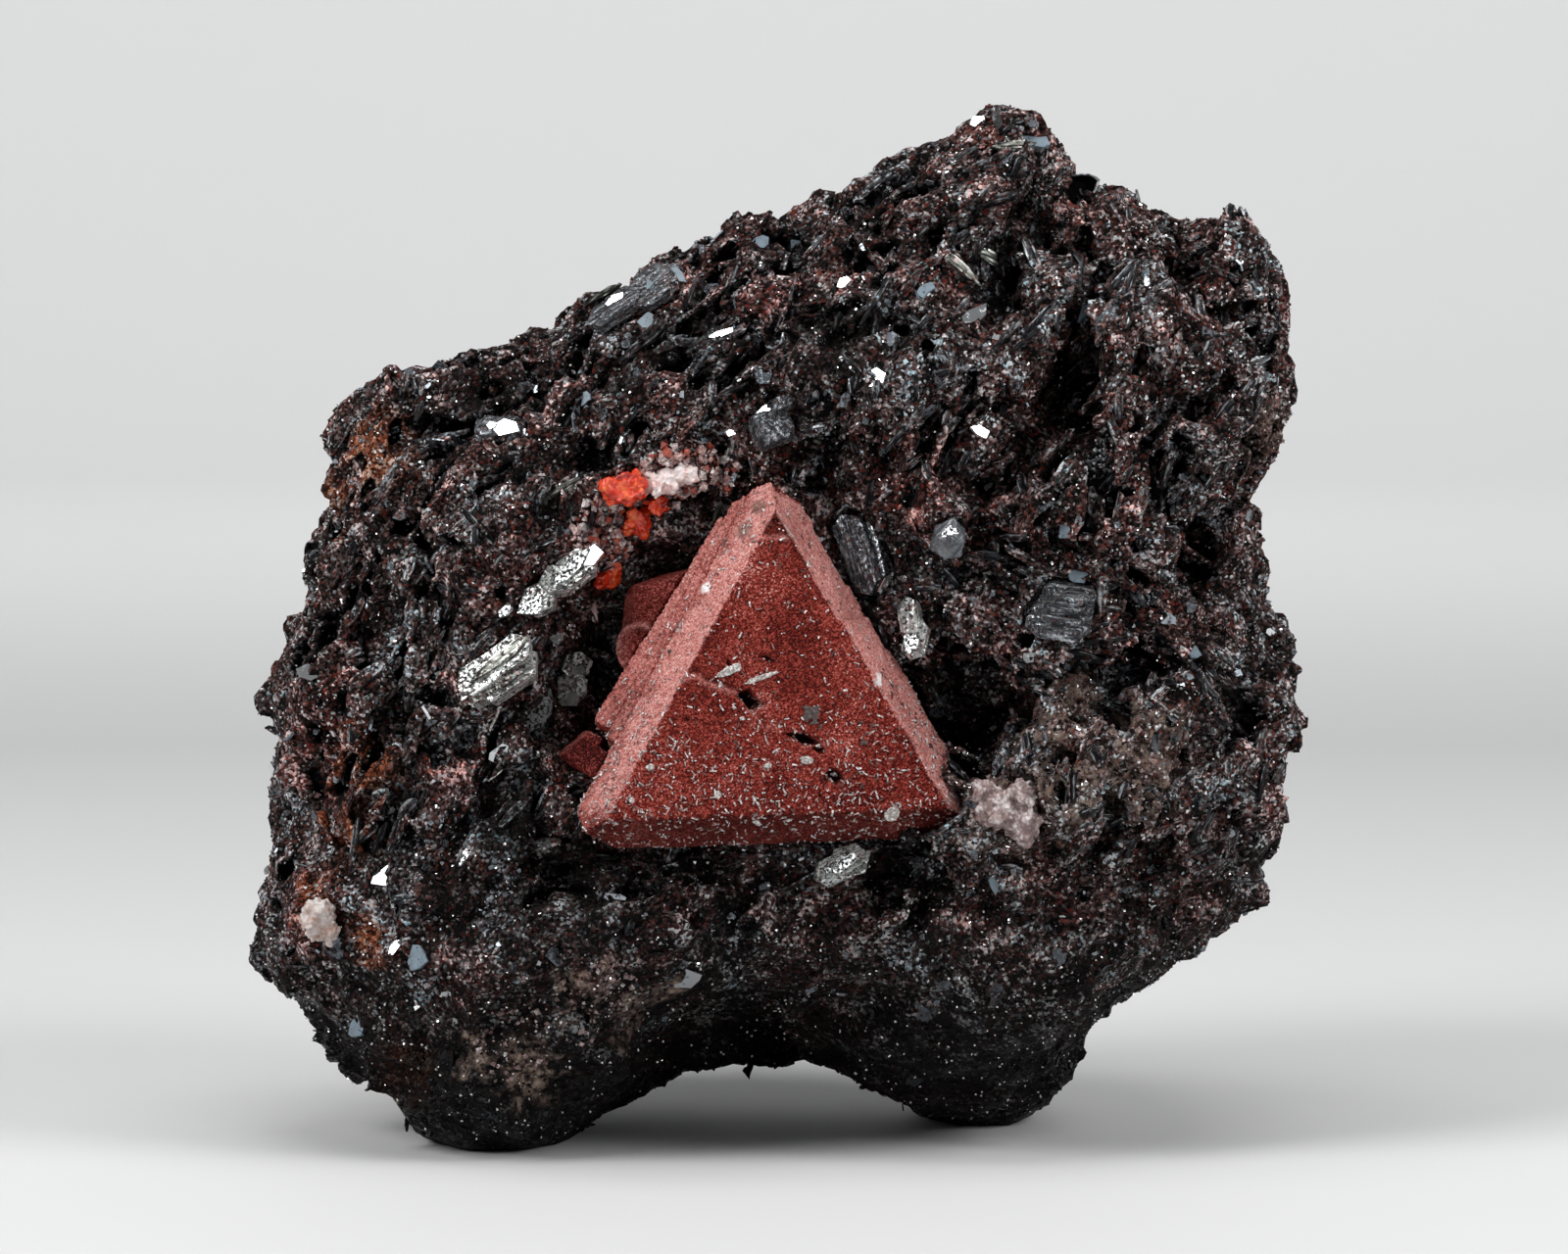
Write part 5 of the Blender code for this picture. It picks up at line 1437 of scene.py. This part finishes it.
def fleck_weight(points, normals, values):
    """More flecks low on the crystal's front."""
    low = 0.32 + 1.3 * np.clip((20.5 - points[:, 2]) / 6.0, 0, 1)
    return low * np.where(normals[:, 1] < 0, 1.0, 0.25) * np.where(normals[:, 2] < -0.5, 0.35, 1.0)


def crystal_flecks(crystal):
    """Short pale dashes all over the large crystal, and a few dark ones."""
    rng = np.random.default_rng(FLECK_SEED)
    points, normals, _ = surface_samples(crystal, rng, FLECK_COUNT, fleck_weight)
    lengths = small_sizes(rng, FLECK_COUNT, *FLECK_SIZE, power=2.5)
    outlines = ragged_outlines(rng, lengths, rng.uniform(0.05, 0.09, FLECK_COUNT), 4, 0.2)
    along = rng.normal(size=(FLECK_COUNT, 3))
    along[normals[:, 2] < -0.6] *= (3.0, 3.0, 0.2)
    flecks = plate_object("crystal_flecks", points + normals * 0.015, normals, along, outlines,
                          np.full(FLECK_COUNT, 0.035))
    finish_piece(flecks, speck_material("fleck", FLECK_SHADES), smooth=False)


def face_minerals(tree):
    """Rods and specks of other minerals that lie in the front face; tree is the crystal's surface."""
    rng = np.random.default_rng(FLECK_SEED + 1)
    for name, places, half_height, ragged, shades in (("pale_rods", PALE_RODS, 0.13, 0.16, ROD_SHADES),
                                                      ("pale_specks", PALE_SPECKS, 0.09, 0.2, ROD_SHADES),
                                                      ("dark_specks", DARK_SPECKS, 0.06, 0.42, SPECK_SHADES)):
        centres = np.array([tree.ray_cast(face_point(place, 3.0), -FACE_OUT)[0] for place, _, _, _ in places])
        lengths, widths, turns = np.array([entry[1:] for entry in places]).T
        turns = np.radians(turns)
        along = np.outer(np.cos(turns), FACE_RIGHT) + np.outer(np.sin(turns), (0, 0, 1))
        facing = np.tile(np.array(FACE_OUT), (len(places), 1)) + rng.normal(0, 0.08, (len(places), 3))
        outlines = ragged_outlines(rng, lengths, widths, 10, ragged)
        thickness = np.minimum(half_height, widths * 0.45)
        specks = plate_object(name, centres + np.array(FACE_OUT) * 0.03, facing, along, outlines, thickness)
        remesh(specks, 0.035)
        roughen(specks, lambda p: 0.045 * noise.noise(p * 8.0) + 0.025 * noise.noise(p * 19.0))
        finish_piece(specks, speck_material(name, shades))


# ---- Smaller crystals ----
def side_crystals():
    """The two dark red crystals beside the large one."""
    (curl_x, curl_z), curl_radius, curl_width, curl_height = CURL_LEDGE
    for node, material in (("zunyite_side_upper", zunyite_material("zunyite_brick", BRICK_SHADES)),
                           ("zunyite_side_lower", zunyite_material("zunyite_dark", DEEP_SHADES))):
        crystal, points, normals = remeshed_node(node, node + "_surface", SIDE_VOXEL)
        reach = np.hypot(points[:, 0] - curl_x, (points[:, 2] - curl_z) * 0.8)
        curl = bell(reach - curl_radius, curl_width) * (normals[:, 1] < 0)
        if node == "zunyite_side_upper":
            over = points[:, 2] - SIDE_TOP - SIDE_SLOPE * (points[:, 0] - curl_x)
            points[:, 2] -= np.maximum(over, 0) * SIDE_CUT
        heights = zunyite_relief(points) + curl_height * curl
        set_vertices(crystal.data, points + normals * heights[:, None])
        # Painted light: paler on faces turned up towards the upper left front; paler along the curl.
        pale = np.clip(normals @ np.array((-0.3, -0.6, 0.74)) - 0.75, 0, 0.2) + 0.6 * curl
        set_attribute(crystal.data, "pale", np.clip(pale, 0, 1))
        set_attribute(crystal.data, "shaded", np.zeros(len(points)))
        finish_piece(crystal, material, [node])


def grainy_crystal(node, material, voxel, lump_size, lump_height):
    """A small crystal or cluster whose surface breaks up into grains."""
    crystal = node_copy(node, node + "_surface")
    remesh(crystal, voxel)

    def height(point):
        grains = lumps(point / lump_size, 1.6) - 0.5 + 0.4 * noise.noise(point * 6.0)
        return lump_height * (grains + 1.2 * noise.noise(point / (2.2 * lump_size)))

    roughen(crystal, height)
    finish_piece(crystal, material, [node])


def small_crystals():
    """Orange and quartz crystals."""
    glasses = {name: glassy_material(name, *look) for name, look in GLASSES.items()}
    for node, slot, glass, voxel, lump_size, lump_height in GRAINY_CRYSTALS:
        grainy_crystal(node, glasses[glass], voxel, lump_size, lump_height)


def divide_long_edges(mesh):
    """Divide the edges that are longer than STRIATED_EDGE, up to STRIATED_TRIANGLES."""
    bm = bmesh.new()
    bm.from_mesh(mesh)
    bmesh.ops.remove_doubles(bm, verts=bm.verts, dist=0.001)
    for _ in range(8):
        long_edges = [edge for edge in bm.edges if edge.calc_length() > STRIATED_EDGE]
        if not long_edges or len(bm.faces) > STRIATED_TRIANGLES:
            break
        bmesh.ops.subdivide_edges(bm, edges=long_edges, cuts=1)
        bmesh.ops.triangulate(bm, faces=bm.faces)
    bm.to_mesh(mesh)
    bm.free()


def striated_crystal(node, material):
    """A hematite crystal with crisp edges, striations along its length and thin steps in its faces."""
    crystal = node_copy(node, node + "_surface")
    points = vertex_array(crystal.data)
    centre = points.mean(axis=0)
    spread = (points - centre).T @ (points - centre)
    axes = np.linalg.eigh(spread)[1][:, ::-1]
    divide_long_edges(crystal.data)
    points = vertex_array(crystal.data)
    own = (points - centre) @ axes
    streaks = noise_array(own * np.array((0.35, 4.0, 4.0)), 1.0)
    steps = smooth_step(noise_array(own * np.array((0.6, 1.4, 1.4)), 1.0), 0.03)
    heights = 0.025 * streaks + 0.06 * steps + 0.02 * noise_array(points, 0.25)
    set_vertices(crystal.data, points + vertex_array(crystal.data, "normal") * heights[:, None])
    for name, values in zip(("along", "across", "thin"), own.T):
        set_attribute(crystal.data, name, values)
    finish_piece(crystal, material, [node], smooth=False)


def hematite_crystals():
    """The larger hematite crystals: dark steel ones, and some whose faces shine."""
    dark = hematite_material("hematite_dark", DARK_STEEL_SHADES, 0.42)
    bright = hematite_material("hematite_bright", BRIGHT_STEEL_SHADES, 0.44)
    for node in sorted(frame["nodes"]):
        if node.startswith("hematite"):
            striated_crystal(node, bright if node in BRIGHT_HEMATITES else dark)


# ---- Studio ----
def studio_floor():
    """Pale round floor that turns up into a wall."""
    inner = FLOOR_RADIUS - WALL_BEND
    profile = [(0.001, 0.0), (inner, 0.0)]
    for step in range(1, BEND_STEPS + 1):
        angle = math.radians(90 * step / BEND_STEPS)
        profile.append((inner + WALL_BEND * math.sin(angle), WALL_BEND * (1 - math.cos(angle))))
    profile.append((FLOOR_RADIUS, WALL_HEIGHT))
    bm = bmesh.new()
    verts = [bm.verts.new((radius, 0, height)) for radius, height in profile]
    edges = [bm.edges.new(pair) for pair in zip(verts, verts[1:])]
    bmesh.ops.spin(bm, geom=verts + edges, axis=(0, 0, 1), cent=(0, 0, 0), steps=64, angle=2 * math.pi)
    bmesh.ops.remove_doubles(bm, verts=bm.verts, dist=0.01)
    bmesh.ops.recalc_face_normals(bm, faces=bm.faces)
    bm.transform(Matrix.Scale(MM, 4))
    floor = bmesh_object("studio_floor", bm)
    shade(floor.data, True)
    floor.data.materials.append(plain_material("studio_floor", (0.66,) * 3, 0.7))


def aimed(name, data, place, target):
    """Object that looks from its place at the target."""
    obj = bpy.data.objects.new(name, data)
    obj.location = place * MM
    obj.rotation_euler = (target - place).to_track_quat("-Z", "Y").to_euler()
    bpy.context.scene.collection.objects.link(obj)
    return obj


def lights():
    """Two soft boxes at the sides, one above, one on the wall behind, and a low even light."""
    for name, place, size, power, target in SOFT_BOXES:
        light = bpy.data.lights.new(name, "AREA")
        light.shape = "RECTANGLE"
        light.size = size[0] * MM
        light.size_y = size[1] * MM
        light.energy = power
        aimed(name, light, Vector(place), target).visible_camera = False
    world = bpy.data.worlds.new("studio")
    world.use_nodes = True
    background = world.node_tree.nodes["Background"]
    background.inputs["Color"].default_value = SKY_COLOUR
    background.inputs["Strength"].default_value = SKY_STRENGTH
    bpy.context.scene.world = world


def camera():
    """Camera at the photograph's viewing angle."""
    data = bpy.data.cameras.new("camera")
    data.lens = CAMERA_LENS
    data.sensor_width = 36.0
    data.clip_start = 0.01
    data.clip_end = 10.0
    elevation = math.radians(CAMERA_ELEVATION)
    back = Vector((0, -math.cos(elevation), math.sin(elevation)))
    place = CAMERA_TARGET + back * CAMERA_DISTANCE
    bpy.context.scene.camera = aimed("camera", data, place, CAMERA_TARGET)


def remove_scratch():
    """Delete the copies that only served for measuring."""
    for obj in list(bpy.data.objects):
        if obj.name.startswith("scratch"):
            bpy.data.objects.remove(obj)


def main():
    rock = rock_surface()
    tree = front_tree(rock)
    rock_flakes(rock)
    quartz_heaps(rock)
    finish_piece(rock, rock_material(), ["matrix"])
    front_plates(tree)
    zunyite_crystal()
    side_crystals()
    small_crystals()
    hematite_crystals()
    remove_scratch()
    studio_floor()
    lights()
    camera()
    bpy.context.scene.view_settings.view_transform = "Standard"


main()
